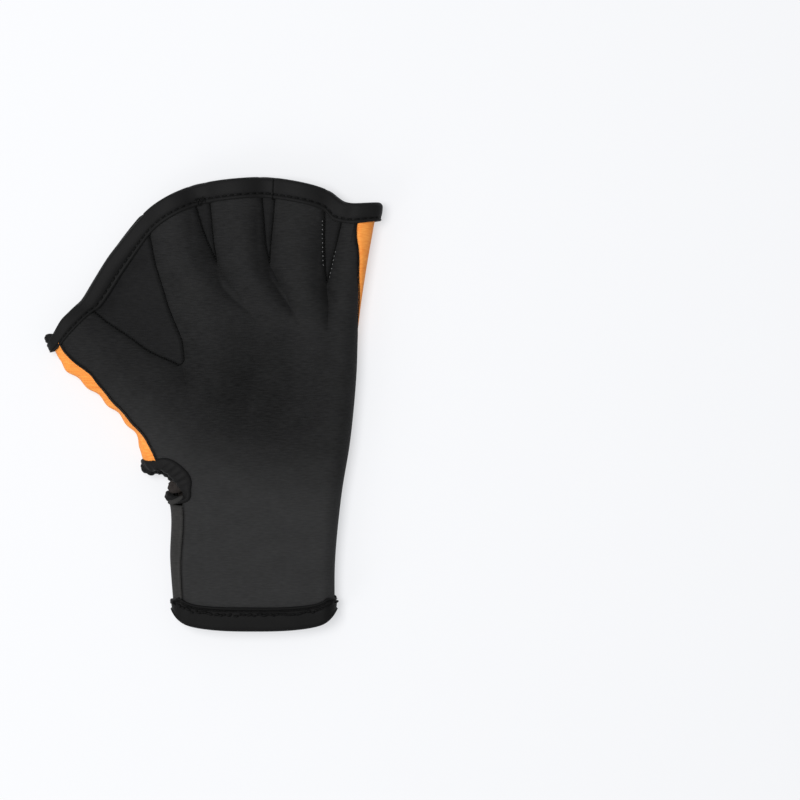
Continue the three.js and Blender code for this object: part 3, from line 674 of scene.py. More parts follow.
@dataclass
class Panels:
    """The sewn neoprene panels: palm, back and wrist, each split by the gussets."""

    form: GloveForm
    lining: bpy.types.Material
    rim_columns: int = 26
    finger_columns: int = 17
    row_counts: tuple[int, ...] = (48, 30, 38, 9, 38, 40)
    rim_crowding: float = 1.6
    finger_crowding: float = 1.8
    seam_start: tuple[float, float] = (0.004, 0.012)
    web_rows: tuple[int, int] = (10, 56)
    seam_depth: float = 1.0
    seam_width: float = 1.2

    def rows(self, low: float, high: float) -> np.ndarray:
        """Stations along the hand, with the keyhole's ends and both apexes among them."""
        marks = [0.0, self.form.keyhole_low, self.form.keyhole_high, THUMB_APEX, THUMB_APEX + APEX_RUN,
                 FINGER_APEX, 1.0]
        runs = [np.linspace(a, b, n, endpoint=False) for a, b, n in zip(marks, marks[1:], self.row_counts)]
        rows = np.concatenate(runs + [np.array([1.0])])
        return rows[(rows >= low - TINY) & (rows <= high + TINY)]

    def sunk(self, grid: np.ndarray, distance: np.ndarray, strength: np.ndarray | float,
             face: Face, upright: bool = False) -> np.ndarray:
        """Lowers a grid into a seam.

        Args:
            grid: points in millimetres.
            distance: how far each point lies from the seam.
            strength: 1 for a full seam, 0 for none.
            face: palm or back.
            upright: lowers them along Z, so that no gap opens beside a gusset.

        Returns:
            The points, lowered along the surface's normal or along Z.
        """
        depth = self.seam_depth * np.exp(-((distance / self.seam_width) ** 2)) * strength
        if upright:
            return grid - depth[..., None] * UPWARDS * face.value
        normal = unit(np.cross(np.gradient(grid, axis=1), np.gradient(grid, axis=0)))
        sign = np.sign(normal[grid.shape[0] // 2, grid.shape[1] // 2, 2]) * face.value
        return grid - normal * (sign or 1) * depth[..., None]

    def finger_half(self, cloth: Cloth, k: int, side: int, rows: np.ndarray, face: Face) -> None:
        """Adds the face between a finger's crown and its border."""
        form = self.form
        t = crowded(self.finger_columns, self.finger_crowding)[None, :]
        grid = form.across_finger(k, side, t, rows[:, None], face)
        border = form.plan(form.span(k, rows)[int(side > 0)], rows)
        distance = np.linalg.norm(grid[..., :2] - border[:, None, :], axis=-1)
        apex = form.borders[k - 1 if side < 0 else k].apex
        early, soft = self.seam_start
        grid = self.sunk(grid, distance, ease((rows - apex + early) / soft)[:, None], face, True)
        cloth.patch(grid, grid[..., :2].copy(), flip=(side < 0) == (face is Face.PALM))

    def rim(self, cloth: Cloth, k: int, rows: np.ndarray, edge: Callable[[np.ndarray], np.ndarray],
            face: Face, seam: bool = True) -> None:
        """Adds the rounded edge between a crown and the panel's own edge."""
        t = crowded(self.rim_columns, self.rim_crowding)[None, :]
        angle = mix(face.value * CROWN, edge(rows)[:, None], t)
        grid = self.form.around(k, angle, rows[:, None])
        run = np.concatenate([np.zeros((len(rows), 1)),
                              np.cumsum(np.linalg.norm(np.diff(grid, axis=1), axis=2), axis=1)], axis=1)
        distance = run[:, -1:] - run
        grid = self.sunk(grid, distance, np.ones((len(rows), 1)) if seam else 0.0, face)
        side = -1 if k == THUMB else 1
        uv = np.stack([grid[:, :1, 0] + side * run, grid[..., 1]], -1)
        cloth.patch(grid, uv, flip=(k == THUMB) == (face is Face.PALM))

    def palm(self, material: bpy.types.Material) -> bpy.types.Object:
        """Makes the palm panel."""
        rows, cloth = self.rows(0, 1), Cloth()
        self.fingers(cloth, rows, Face.PALM)
        self.rim(cloth, THUMB, rows, self.form.thumb_seam, Face.PALM)
        self.rim(cloth, LITTLE, rows, self.form.little_seam, Face.PALM)
        return self.finish(cloth, "palm_panel_skin", material)

    def fingers(self, cloth: Cloth, rows: np.ndarray, face: Face) -> None:
        """Adds every half finger that lies between two others."""
        for k, side in INNER_HALVES:
            self.finger_half(cloth, k, side, rows, face)

    def back(self, material: bpy.types.Material) -> bpy.types.Object:
        """Makes the back panel, from the keyhole to the fingertips."""
        form, cloth = self.form, Cloth()
        rows = self.rows(form.keyhole_low, 1)
        self.fingers(cloth, rows, Face.BACK)
        self.rim(cloth, LITTLE, rows, form.little_seam, Face.BACK)
        above = rows[rows >= form.keyhole_high - TINY]
        beside = rows[rows <= form.keyhole_high + TINY]
        self.rim(cloth, THUMB, above, form.thumb_seam, Face.BACK)
        self.rim(cloth, THUMB, beside, form.keyhole_back, Face.BACK, seam=False)
        return self.finish(cloth, "back_panel_skin", material)

    def wrist(self, material: bpy.types.Material) -> bpy.types.Object:
        """Makes the wrist's back panel."""
        form, cloth = self.form, Cloth()
        rows = self.rows(0, form.keyhole_low)
        self.fingers(cloth, rows, Face.BACK)
        self.rim(cloth, THUMB, rows, form.thumb_seam, Face.BACK)
        self.rim(cloth, LITTLE, rows, form.little_seam, Face.BACK)
        return self.finish(cloth, "wrist_panel_skin", material)

    def web(self, index: int, material: bpy.types.Material) -> bpy.types.Object:
        """Makes one gusset, a closed flat piece between its two seams."""
        form, cloth = self.form, Cloth()
        border = form.borders[index]
        start, (few, many) = border.apex + APEX_RUN, self.web_rows
        rows = np.concatenate([np.linspace(border.apex, start, few)[:-1], np.linspace(start, 1, many)])
        across = 40 if index == 0 else 14
        w = (1 - np.cos(np.linspace(0, np.pi, across + 1))) / 2
        for face in Face:
            grid = form.web(index, w[None, :], rows[:, None], face)
            edges = [grid[:, :1, :2], grid[:, -1:, :2]]
            distance = np.minimum(*(np.linalg.norm(grid[..., :2] - e, axis=-1) for e in edges))
            grid = self.sunk(grid, distance, 1.0, face, True)
            cloth.patch(grid, grid[..., :2].copy(), flip=face is Face.BACK)
            if face is Face.PALM:
                top = grid
            else:
                for column, turn in ((0, False), (-1, True)):
                    wall = np.stack([top[:, column], grid[:, column]], 1)
                    cloth.patch(wall, wall[..., 1:].copy(), flip=turn)
                wall = np.stack([top[-1], grid[-1]], 1)
                cloth.patch(wall, wall[..., [0, 2]].copy(), flip=True)
        return self.finish(cloth, f"{border.web}_skin", material, walled=False)

    def finish(self, cloth: Cloth, name: str, material: bpy.types.Material,
               walled: bool = True) -> bpy.types.Object:
        """Welds a panel, turns its faces outwards and gives it its wall."""
        piece = cloth.piece(name, material, lining=self.lining if walled else None)
        if walled:
            thicken(piece, self.form.wall, name.startswith("back"))
        else:
            face_outwards(piece)
        return piece


def face_outwards(piece: bpy.types.Object) -> None:
    """Turns the faces of a closed piece outwards."""
    with reworked(piece.data) as work:
        bmesh.ops.recalc_face_normals(work, faces=work.faces)


@dataclass(frozen=True)
class TapeSection:
    """Section of a folded tape: its two legs, the rib along its long edge and its stitched groove."""

    outer: float
    inner: float
    rib: float
    wall: float
    lift: float = 0.95
    rib_lift: float = 0.5
    groove: float = 0.45
    fold_steps: int = 12
    groove_column: int = 6

    def outer_leg(self) -> list[tuple[float, float, float]]:
        """Distance in from the edge, lift off the cloth and share of the tape's tension, to the fold."""
        top, foot = self.lift, self.outer - self.rib
        return [
            (self.outer + 0.12, -0.2, 0.0), (self.outer + 0.05, 0.25, 0.1),
            (self.outer - 0.15, top + 0.05, 0.3), (self.outer - 0.5 * self.rib, top + self.rib_lift, 0.6),
            (foot + 0.3, top + 0.1, 0.8), (foot, top - self.groove * 0.6, 0.9),
            (foot - 0.35, top - self.groove, 0.95), (foot - 0.75, top - self.groove * 0.4, 1.0),
            (foot - 1.3, top + 0.1, 1.0), (foot * 0.6, top + 0.2, 1.0), (foot * 0.35, top + 0.16, 1.0),
            (1.4, top + 0.06, 1.0), (0.5, top, 1.0),
        ]

    def inner_leg(self) -> list[tuple[float, float]]:
        """Distance in and lift for the leg inside the glove."""
        low = -self.wall - self.lift
        return [(0.8, low), (self.inner * 0.5, low), (self.inner, low), (self.inner + 0.1, -self.wall - 0.1)]


class Ring:
    """A closed run of stations round an end of the glove, each a row of points in from the edge."""

    depths = np.array([0.0, 0.7, 1.4, 2.2, 3.2, 4.5, 6.0, 7.5, 8.5, 9.3, 10.0, 10.8, 11.6, 12.4])
    evening = 3
    bridging = 36
    probe = 0.01
    aside = 0.004
    least_square = {1: 60.0, 0: 165.0}

    def __init__(self, form: GloveForm, end: int) -> None:
        """Lays the stations.

        Args:
            form: the glove's form.
            end: 1 for the finger edge, 0 for the cuff.
        """
        self.form, self.end = form, end
        palm, palm_marks = self.face_rows(Face.PALM)
        back, back_marks = self.face_rows(Face.BACK)
        rows = np.concatenate([palm, back[::-1][1:-1]])
        marks = np.concatenate([palm_marks, back_marks[::-1][1:-1]])
        rows, marks = self.even(rows, marks)
        self.rows = self.smoothed(rows, self.evening)
        self.on_web, self.u, self.side = marks[:, 0] > 0.5, marks[:, 1], np.sign(marks[:, 2])
        self.tension = self.taut()
        along = np.roll(self.rows, -1, 0) - np.roll(self.rows, 1, 0)
        normal = unit(np.cross(along, np.gradient(self.rows, axis=1)))
        if normal[:, 0, 2][np.argmax(self.rows[:, 0, 2])] < 0:
            normal = -normal
        self.normal = self.smoothed(normal, self.evening)
        edge = unit(along[:, :1, :2])
        out = np.stack([edge[..., 1], -edge[..., 0]], -1)
        across = self.rows[:, :1, :2] - self.rows[:, 3:4, :2]
        out = out * np.sign(np.sum(out * across, -1, keepdims=True))
        self.outward = self.smoothed(np.concatenate([out, 0 * out[..., :1]], -1), self.evening)

    def taut(self) -> np.ndarray:
        """How far a stretched tape stands off each point where it bridges a hollow."""
        z, side = self.rows[..., 2], self.side[:, None]
        pulled = z
        for _ in range(self.bridging):
            eased = self.smoothed(pulled, 1)
            pulled = np.where(side > 0, np.maximum(z, eased), np.minimum(z, eased))
        return pulled - z

    def share(self, u: np.ndarray) -> np.ndarray:
        """Share of the hand's length that covers one millimetre square to the edge."""
        form, v = self.form, float(self.end)
        inner = abs(self.end - self.probe)
        along = (form.plan(u, v) - form.plan(u, inner)) / self.probe
        tangent = unit(form.plan(u + self.aside, v) - form.plan(u - self.aside, v))
        square = np.abs(along[..., 0] * tangent[..., 1] - along[..., 1] * tangent[..., 0])
        return 1 / np.maximum(square, self.least_square[self.end])

    def stations_v(self, u: np.ndarray) -> np.ndarray:
        """Stations along the hand for each depth in from the edge, at u."""
        depth = self.share(u)[:, None] * self.depths[None, :]
        return 1 - depth if self.end else depth

    def face_rows(self, face: Face) -> tuple[np.ndarray, np.ndarray]:
        """Rows over one face, from the thumb's outline to the little finger's.

        Args:
            face: palm or back.

        Returns:
            Points, and for each row 1 on a gusset or 0 on a finger, its u and its face.
        """
        form, rows, marks = self.form, [], []
        v = np.full(1, float(self.end))
        quarter = np.linspace(0, CROWN, 40) * face.value
        half = np.linspace(0, 1, 60)
        for k in range(LITTLE + 1):
            low, high = (float(side[0]) for side in form.span(k, v))
            crown = float(form.crown(k, v)[0])
            for side in (-1, 1):
                if (k, side) not in INNER_HALVES:
                    angle = quarter if side < 0 else quarter[::-1]
                    u = mix(crown, 0.0 if side < 0 else 1.0, np.cos(angle))
                    points = form.around(k, angle[:, None], self.stations_v(u))
                else:
                    t = half[::-1] if side < 0 else half
                    u = mix(crown, low if side < 0 else high, t)
                    points = form.across_finger(k, side, t[:, None], self.stations_v(u), face)
                rows.append(points)
                marks.append(np.stack([0 * u, u, 0 * u + face.value], -1))
            if k < LITTLE and self.end:
                w = np.linspace(0, 1, 60 if k == THUMB else 20)
                u = mix(form.edge_share[2 * k + 1], form.edge_share[2 * k + 2], w)
                rows.append(form.web(k, w[:, None], self.stations_v(u), face))
                marks.append(np.stack([0 * u + 1, u, 0 * u + face.value], -1))
        return np.concatenate(rows), np.concatenate(marks)

    @staticmethod
    def even(rows: np.ndarray, marks: np.ndarray) -> tuple[np.ndarray, np.ndarray]:
        """Stations laid again at an even spacing along the closed edge."""
        closed = np.concatenate([rows.reshape(len(rows), -1), marks], axis=1)
        closed = np.concatenate([closed, closed[:1]])
        run = run_along(closed[:, :3])
        at = np.linspace(0, run[-1], int(run[-1] / RING_SPACING), endpoint=False)
        laid = laid_at(at, run, closed)
        return laid[:, :-3].reshape((len(at),) + rows.shape[1:]), laid[:, -3:]

    @staticmethod
    def smoothed(values: np.ndarray, times: int) -> np.ndarray:
        """Values evened out along the closed ring."""
        for _ in range(times):
            values = (np.roll(values, 1, 0) + 2 * values + np.roll(values, -1, 0)) / 4
        return values

    def at(self, depth: np.ndarray) -> tuple[np.ndarray, np.ndarray, np.ndarray]:
        """Cloth points, normals and the tape's tension at a depth in from the edge for each station."""
        i = np.clip(np.searchsorted(self.depths, depth, side="right") - 1, 0, len(self.depths) - 2)
        t = ((depth - self.depths[i]) / (self.depths[i + 1] - self.depths[i]))[:, None]
        n = np.arange(len(self.rows))
        points = mix(self.rows[n, i], self.rows[n, i + 1], t)
        pull = mix(self.tension[n, i], self.tension[n, i + 1], t[:, 0])
        return points, unit(mix(self.normal[n, i], self.normal[n, i + 1], t)), pull


@dataclass
class EdgeTape:
    """The tape folded over the finger edge or the cuff, with its stitches."""

    form: GloveForm
    name: str
    end: int
    section: TapeSection
    width: Rule
    poke: tuple[float, float] = (0.0, 0.0)
    bulge: Rule = field(default_factory=lambda: Rule(((0, 0), (1, 0))))
    wave: float = 0.12
    wave_pitch: float = 31.0
    ripple_pitch: float = 7.3
    cloth: float = 0.7
    hold: float = 0.7
    poke_run: tuple[float, float] = (0.035, 0.03)

    def pushed(self, ring: Ring) -> np.ndarray:
        """How far the tape's two ends stick out beyond the glove's outline."""
        top = self.form.top
        reach, soft = self.poke_run
        left, right = unit(top(0.0) - top(soft)), unit(top(1.0) - top(1 - soft))
        start = self.poke[0] * ease((reach - ring.u) / soft)[:, None]
        end = self.poke[1] * ease((ring.u - 1 + reach) / soft)[:, None]
        return np.concatenate([start * left + end * right, 0 * start], -1)

    def build(self, material: bpy.types.Material) -> bpy.types.Object:
        """Makes the tape and keeps its grid for the stitches.

        Args:
            material: what the tape is made of.

        Returns:
            The tape.
        """
        ring, section = Ring(self.form, self.end), self.section
        run = np.arange(len(ring.rows)) * RING_SPACING
        factor = self.width(ring.u)
        push = self.pushed(ring)
        sway = np.sin(run / self.wave_pitch * 6.28) + 0.6 * np.sin(run / self.ripple_pitch + 1.0)
        sway = self.wave * sway[:, None]
        bulge = ring.outward[:, 0] * self.bulge(ring.u)[:, None]
        columns, along = [], []
        for depth, lift, share in section.outer_leg():
            point, normal, pull = ring.at(depth * factor)
            point[:, 2] += pull * share
            point = point + bulge * (1 - self.hold * min(depth / section.outer, 1.0))
            columns.append(point + push + normal * (lift + 0.5 * share * sway))
            along.append(-depth)
        push = push + bulge
        edge, normal, pull = ring.at(np.zeros(len(run)))
        radius, form = section.wall / 2 + section.lift, self.form
        deep = form.crease_rise + form.web_lift / 2 + section.lift
        for angle in np.linspace(CROWN, -CROWN, section.fold_steps + 1)[1:-1]:
            high = max(math.sin(angle), 0.0)
            lift = np.where(ring.on_web, deep * math.sin(angle) - deep + section.lift,
                            radius * math.sin(angle) - section.wall / 2)[:, None]
            point = edge + ring.outward[:, 0] * radius * math.cos(angle) + normal * lift + push
            point[:, 2] += pull * high
            columns.append(point)
            along.append(radius * (CROWN - angle))
        for depth, lift in section.inner_leg():
            point, normal, _ = ring.at(depth * factor)
            columns.append(point + normal * lift + push - bulge)
            along.append(radius * math.pi + depth)
        self.grid, self.side, self.normal = np.stack(columns, 1), ring.side, normal
        middle, web = len(section.outer_leg()) + section.fold_steps // 2 - 1, ring.on_web

        def hidden(row: int, column: int) -> bool:
            """True where a gusset leaves no room for the tape's inner leg."""
            return column >= middle and (web[row] or web[(row + 1) % len(web)])

        uv = np.stack(np.broadcast_arrays(run[:, None], np.array(along)[None, :]), -1)
        cloth = Cloth()
        cloth.patch(self.grid, uv, skip=hidden, closed=True)
        piece = cloth.piece(self.name, material)
        turn_up(piece)
        thicken(piece, self.cloth)
        return piece

    def groove(self, lift: float = 0.1) -> np.ndarray:
        """The line along the tape's groove, where the finger tape's stitches and the cuff tape's cord of
        painted shadow run.
        """
        return self.grid[:, self.section.groove_column] + self.normal * lift

    def row_near(self, x: float) -> np.ndarray:
        """The tape's outer points across it, on the palm's side, at one place along X."""
        palm = self.side > 0
        distance = np.where(palm, np.abs(self.grid[:, 0, 0] - x), FAR)
        return self.grid[int(np.argmin(distance)), :len(self.section.outer_leg()) + 5]


def turn_up(piece: bpy.types.Object) -> None:
    """Turns an open sheet over if its highest faces look down."""
    mesh = piece.data
    normals = np.empty(len(mesh.polygons) * 3)
    centres = np.empty(len(mesh.polygons) * 3)
    mesh.polygons.foreach_get("normal", normals)
    mesh.polygons.foreach_get("center", centres)
    heights, ups = centres[2::3], normals[2::3]
    top = heights > np.quantile(heights, 0.9)
    if ups[top].sum() < 0:
        mesh.flip_normals()


@dataclass
class KeyholeTape:
    """The gathered tape round the opening at the side of the wrist."""

    form: GloveForm
    outer: float = 5.2
    inner: float = 2.4
    lift: float = 1.35
    gather: float = 0.2
    gather_pitch: float = 3.1
    low: float = 0.296
    high: float = 0.388
    radius: float = 10.0
    stations: int = 260
    evening: int = 14
    back_width: float = 0.7
    cloth: float = 0.6
    near_edge: float = 0.7
    depths: tuple[float, float, int] = (-1.0, 6.0, 29)
    ruffle_pitch: float = 1.31
    calm: tuple[float, float, float] = (0.25, 0.318, 0.02)
    thin: tuple[float, float, float] = (0.6, 0.305, 0.02)
    width: Rule = field(default_factory=lambda: Rule(
        ((0.29, 0.4), (0.312, 0.5), (0.325, 0.8), (0.345, 1.0), (0.375, 1.0), (0.39, 0.85))))

    def path(self) -> np.ndarray:
        """The opening's edge as lengths round the thumb side and along it, closed."""
        form, low, high = self.form, self.low, self.high
        middle = (0.335, 0.345)
        ends = form.plan(np.zeros(2), np.array(middle))
        self.along = float(np.linalg.norm(ends[1] - ends[0])) / (middle[1] - middle[0])
        up, down = np.linspace(low, high, 40), np.linspace(high, low, 40)
        palm = np.stack([form.thumb_seam(up), up], -1)
        back = np.stack([form.keyhole_back(down), down], -1)
        top = np.stack([np.linspace(palm[-1, 0], back[0, 0], 14)[1:-1], np.full(12, high)], -1)
        bottom = np.stack([np.linspace(back[-1, 0], palm[0, 0], 14)[1:-1], np.full(12, low)], -1)
        loop = np.concatenate([palm, top, back, bottom]) * np.array([self.radius, self.along])
        closed = np.concatenate([loop, loop[:1]])
        run = run_along(closed)
        self.length = run[-1]
        at = np.linspace(0, run[-1], self.stations, endpoint=False)
        return Ring.smoothed(laid_at(at, run, closed), self.evening)

    @staticmethod
    def rising(rise: tuple[float, float, float], v: np.ndarray) -> np.ndarray:
        """Rise from a share to 1 along the hand; rise holds the share, the start and the run."""
        share, start, soft = rise
        return mix(share, 1.0, ease((v - start) / soft))

    def build(self, material: bpy.types.Material) -> bpy.types.Object:
        """Makes the tape."""
        form, loop = self.form, self.path()
        tangent = unit(np.roll(loop, -1, 0) - np.roll(loop, 1, 0))
        out = np.stack([tangent[:, 1], -tangent[:, 0]], -1)
        if np.sum(out * (loop - loop.mean(0))) < 0:
            out = -out
        depths = np.linspace(*self.depths)
        places = loop[:, None, :] + out[:, None, :] * depths[None, :, None]
        rows = form.around(THUMB, places[..., 0] / self.radius, places[..., 1] / self.along)
        along = np.roll(rows, -1, 0) - np.roll(rows, 1, 0)
        normal = unit(np.cross(along, np.gradient(rows, axis=1)))
        top = np.unravel_index(np.argmax(rows[..., 2]), rows[..., 2].shape)
        if normal[top][2] < 0:
            normal = -normal
        normal = Ring.smoothed(normal, Ring.evening)
        v = loop[:, 1] / self.along
        factor = Ring.smoothed(np.where(loop[:, 0] < 0, self.back_width, self.width(v)), 8)
        run = np.arange(self.stations) * self.length / self.stations
        ruffle = np.sin(run / self.gather_pitch * 2 * np.pi) + 0.5 * np.sin(run / self.ruffle_pitch + 0.7)
        ruffle = ruffle * self.rising(self.calm, v)

        def at(depth: float) -> tuple[np.ndarray, np.ndarray]:
            """Cloth points and normals at a depth from the opening's edge."""
            place = np.where(depth > self.near_edge, depth * factor, depth) - depths[0]
            place = place / (depths[1] - depths[0])
            i = np.clip(place.astype(int), 0, len(depths) - 2)
            t, n = (place - i)[:, None], np.arange(len(rows))
            return mix(rows[n, i], rows[n, i + 1], t), unit(mix(normal[n, i], normal[n, i + 1], t))

        columns, across = [], []
        leg = [(self.outer + 0.15, -0.2, 0.0), (self.outer, 0.5, 0.1), (self.outer - 0.4, 1.05, 0.2),
               (self.outer - 1.2, self.lift, 0.3), (self.outer * 0.5, self.lift + 0.15, 0.6),
               (self.outer * 0.3, self.lift + 0.1, 0.8), (0.6, self.lift, 1.0)]
        for depth, lift, share in leg:
            point, up = at(depth)
            columns.append(point + up * (lift + self.gather * share * ruffle[:, None]))
            across.append(-depth)
        edge, up = at(0.0)
        inward = unit(at(-0.5)[0] - at(0.5)[0])
        reach = ((form.wall / 2 + self.lift) * self.rising(self.thin, v))[:, None]
        for angle in np.linspace(CROWN, -CROWN, 11)[1:-1]:
            swell = 1 + 0.12 * ruffle[:, None]
            lift = (reach + self.gather * ruffle[:, None]) * math.sin(angle) - form.wall / 2
            columns.append(edge + inward * reach * math.cos(angle) * swell + up * lift)
            across.append(float(reach.max()) * (CROWN - angle))
        for depth in (0.8, self.inner):
            point, up = at(depth)
            columns.append(point - up * (form.wall + 1.0))
            across.append(float(reach.max()) * math.pi + depth)
        grid = np.stack(columns, 1)
        uv = np.stack(np.broadcast_arrays(run[:, None], np.array(across)[None, :]), -1)
        cloth = Cloth()
        cloth.patch(grid, uv, closed=True)
        piece = cloth.piece("keyhole_tape", material)
        turn_up(piece)
        thicken(piece, self.cloth)
        return piece


@dataclass
class SeamLines:
    """Where the seams' threads run, just under the cloth's surface."""

    form: GloveForm
    depth: float = 0.5
    probe: float = 0.03
    ends: tuple[float, float] = (0.005, 0.985)
    keyhole_ends: tuple[float, float] = (0.272, 0.412)

    def beside(self, k: int, angle: Callable[[np.ndarray], np.ndarray], low: float,
               high: float) -> np.ndarray:
        """A line along the thumb's or little finger's rounded edge.

        Args:
            k: 0 for the thumb side, 4 for the little finger side.
            angle: gives the seam's angle at each station along the hand.
            low: first station.
            high: last station.

        Returns:
            Points in millimetres.
        """
        v = np.linspace(low, high, int((high - low) * 500) + 2)
        a = angle(v)
        point = self.form.around(k, a, v)
        across = self.form.around(k, a + self.probe, v) - self.form.around(k, a - self.probe, v)
        normal = unit(np.cross(across, np.gradient(point, axis=0)))
        plan = self.form.plan(self.form.crown(k, v), v)
        middle = np.concatenate([plan, np.full((len(v), 1), self.form.seam_plane)], -1)
        normal = normal * np.sign(np.sum(normal * (point - middle), -1, keepdims=True))
        return point - normal * self.depth

    def panel(self) -> list[np.ndarray]:
        """Both long seams of the palm panel and the seam across the back of the wrist."""
        form = self.form
        (start, end), (low, high) = self.ends, self.keyhole_ends
        lines = [self.beside(THUMB, form.thumb_seam, start, low),
                 self.beside(THUMB, form.thumb_seam, high, end),
                 self.beside(LITTLE, form.little_seam, start, end)]
        v, across = np.full(60, form.keyhole_low), np.linspace(0, 1, 60)
        lines += [form.across_finger(k, side, across, v, Face.BACK) + 0.1 * UPWARDS
                  for k, side in INNER_HALVES]
        for k, angle in ((THUMB, form.thumb_seam), (LITTLE, form.little_seam)):
            top = min(float(angle(np.array([form.keyhole_low]))[0]), KEYHOLE_CUT if k == THUMB else 0.0)
            lines.append(form.around(k, np.linspace(-CROWN, top, 40), v[:40]))
        return lines

    def webs(self) -> list[np.ndarray]:
        """The seams between the gussets and the fingers, on both faces."""
        lines = []
        for index, border in enumerate(self.form.borders):
            v = np.linspace(border.apex, self.ends[1], 160)
            for face in Face:
                for k, side in ((index, 1), (index + 1, -1)):
                    line = self.form.across_finger(k, side, np.ones_like(v), v, face)
                    line[:, 2] -= self.depth * face.value
                    lines.append(line)
        return lines

    def needle_marks(self) -> list[np.ndarray]:
        """Rows of pale needle marks beside the seams of the ring finger's gusset."""
        rows = []
        for k, side, low, high in ((3, 1, 0.875, 0.95), (4, -1, 0.86, 0.915)):
            v = np.linspace(low, high, 60)
            line = self.form.across_finger(k, side, np.full_like(v, 0.93), v, Face.PALM)
            line[:, 2] -= 0.2
            rows.append(line)
        return rows


@dataclass(frozen=True)
class Stitch:
    """Spacing and size of the stitches in a row, in millimetres."""

    pitch: float
    length: float
    radius: float
    scatter: float = 0.0
    uneven: float = 0.0


class Sewing:
    """Lays rows of stitches along lines with one shared node group."""

    def __init__(self) -> None:
        """Builds the group: points along the lines, a stitch on each, made real."""
        tree = bpy.data.node_groups.new("stitch_row", "GeometryNodeTree")
        tree.interface.new_socket("Line", in_out="INPUT", socket_type="NodeSocketGeometry")
        for key in ("Pitch", "Length", "Radius", "Scatter", "Uneven"):
            tree.interface.new_socket(key, in_out="INPUT", socket_type="NodeSocketFloat")
        tree.interface.new_socket("Thread", in_out="INPUT", socket_type="NodeSocketMaterial")
        tree.interface.new_socket("Stitches", in_out="OUTPUT", socket_type="NodeSocketGeometry")
        g = Graph(tree)
        given, made = g.node("NodeGroupInput"), g.node("NodeGroupOutput")
        key = given.outputs
        curve = g.node("GeometryNodeMeshToCurve", {"Mesh": key["Line"]})
        points = g.node("GeometryNodeCurveToPoints", {"Curve": curve.outputs[0], "Length": key["Pitch"]},
                        mode="LENGTH")
        shift = g.node("FunctionNodeRandomValue", {"Min": (-1, -1, -0.3)}, data_type="FLOAT_VECTOR")
        reach = g.node("ShaderNodeVectorMath", {0: shift.outputs["Value"], "Scale": key["Scatter"]},
                       operation="SCALE")
        moved = g.node("GeometryNodeSetPosition",
                       {"Geometry": points.outputs["Points"], "Offset": reach.outputs[0]})
        ball = g.node("GeometryNodeMeshUVSphere", {"Segments": 8, "Rings": 6, "Radius": 1.0})
        smooth = g.node("GeometryNodeSetShadeSmooth", {"Geometry": ball.outputs["Mesh"]})
        spread = g.node("FunctionNodeRandomValue", data_type="FLOAT")
        floats = [socket for socket in spread.inputs if socket.type == "VALUE"]
        for socket, operation in zip(floats, ("SUBTRACT", "ADD")):
            g.feed(socket, g.math(operation, 1.0, key["Uneven"]))
        value = next(socket for socket in spread.outputs if socket.type == "VALUE")
        long = g.math("MULTIPLY", g.math("MULTIPLY", key["Length"], 0.5), value)
        size = g.node("ShaderNodeCombineXYZ", {0: key["Radius"], 1: key["Radius"], 2: long})
        placed = g.node("GeometryNodeInstanceOnPoints",
                        {"Points": moved.outputs[0], "Instance": smooth.outputs[0],
                         "Rotation": points.outputs["Rotation"], "Scale": size.outputs[0]})
        real = g.node("GeometryNodeRealizeInstances", {0: placed.outputs[0]})
        dress = g.node("GeometryNodeSetMaterial", {"Geometry": real.outputs[0], "Material": key["Thread"]})
        g.feed(made.inputs[0], dress.outputs[0])
        self.tree = tree

    def sew(self, name: str, lines: Sequence[np.ndarray], stitch: Stitch, material: bpy.types.Material,
            closed: bool = False) -> bpy.types.Object:
        """Makes a piece of stitches along lines.

        Args:
            name: the piece's name.
            lines: points of each line in millimetres.
            stitch: spacing and size.
            material: the thread.
            closed: joins each line's last point to its first.

        Returns:
            The piece.
        """
        points, edges, base = [], [], 0
        for line in lines:
            count = len(line)
            edges += [(base + i, base + (i + 1) % count) for i in range(count if closed else count - 1)]
            points.append(line)
            base += count
        mesh = bpy.data.meshes.new(name)
        mesh.from_pydata((np.concatenate(points) * MM).tolist(), edges, [])
        piece = linked(name, mesh)
        modifier = piece.modifiers.new("stitches", "NODES")
        modifier.node_group = self.tree
        values = {key.capitalize(): size * MM for key, size in vars(stitch).items()}
        values |= {"Uneven": stitch.uneven, "Thread": material}
        for socket in self.tree.interface.items_tree:
            if socket.name in values and socket.in_out == "INPUT":
                modifier[socket.identifier] = values[socket.name]
        bake(piece)
        return piece


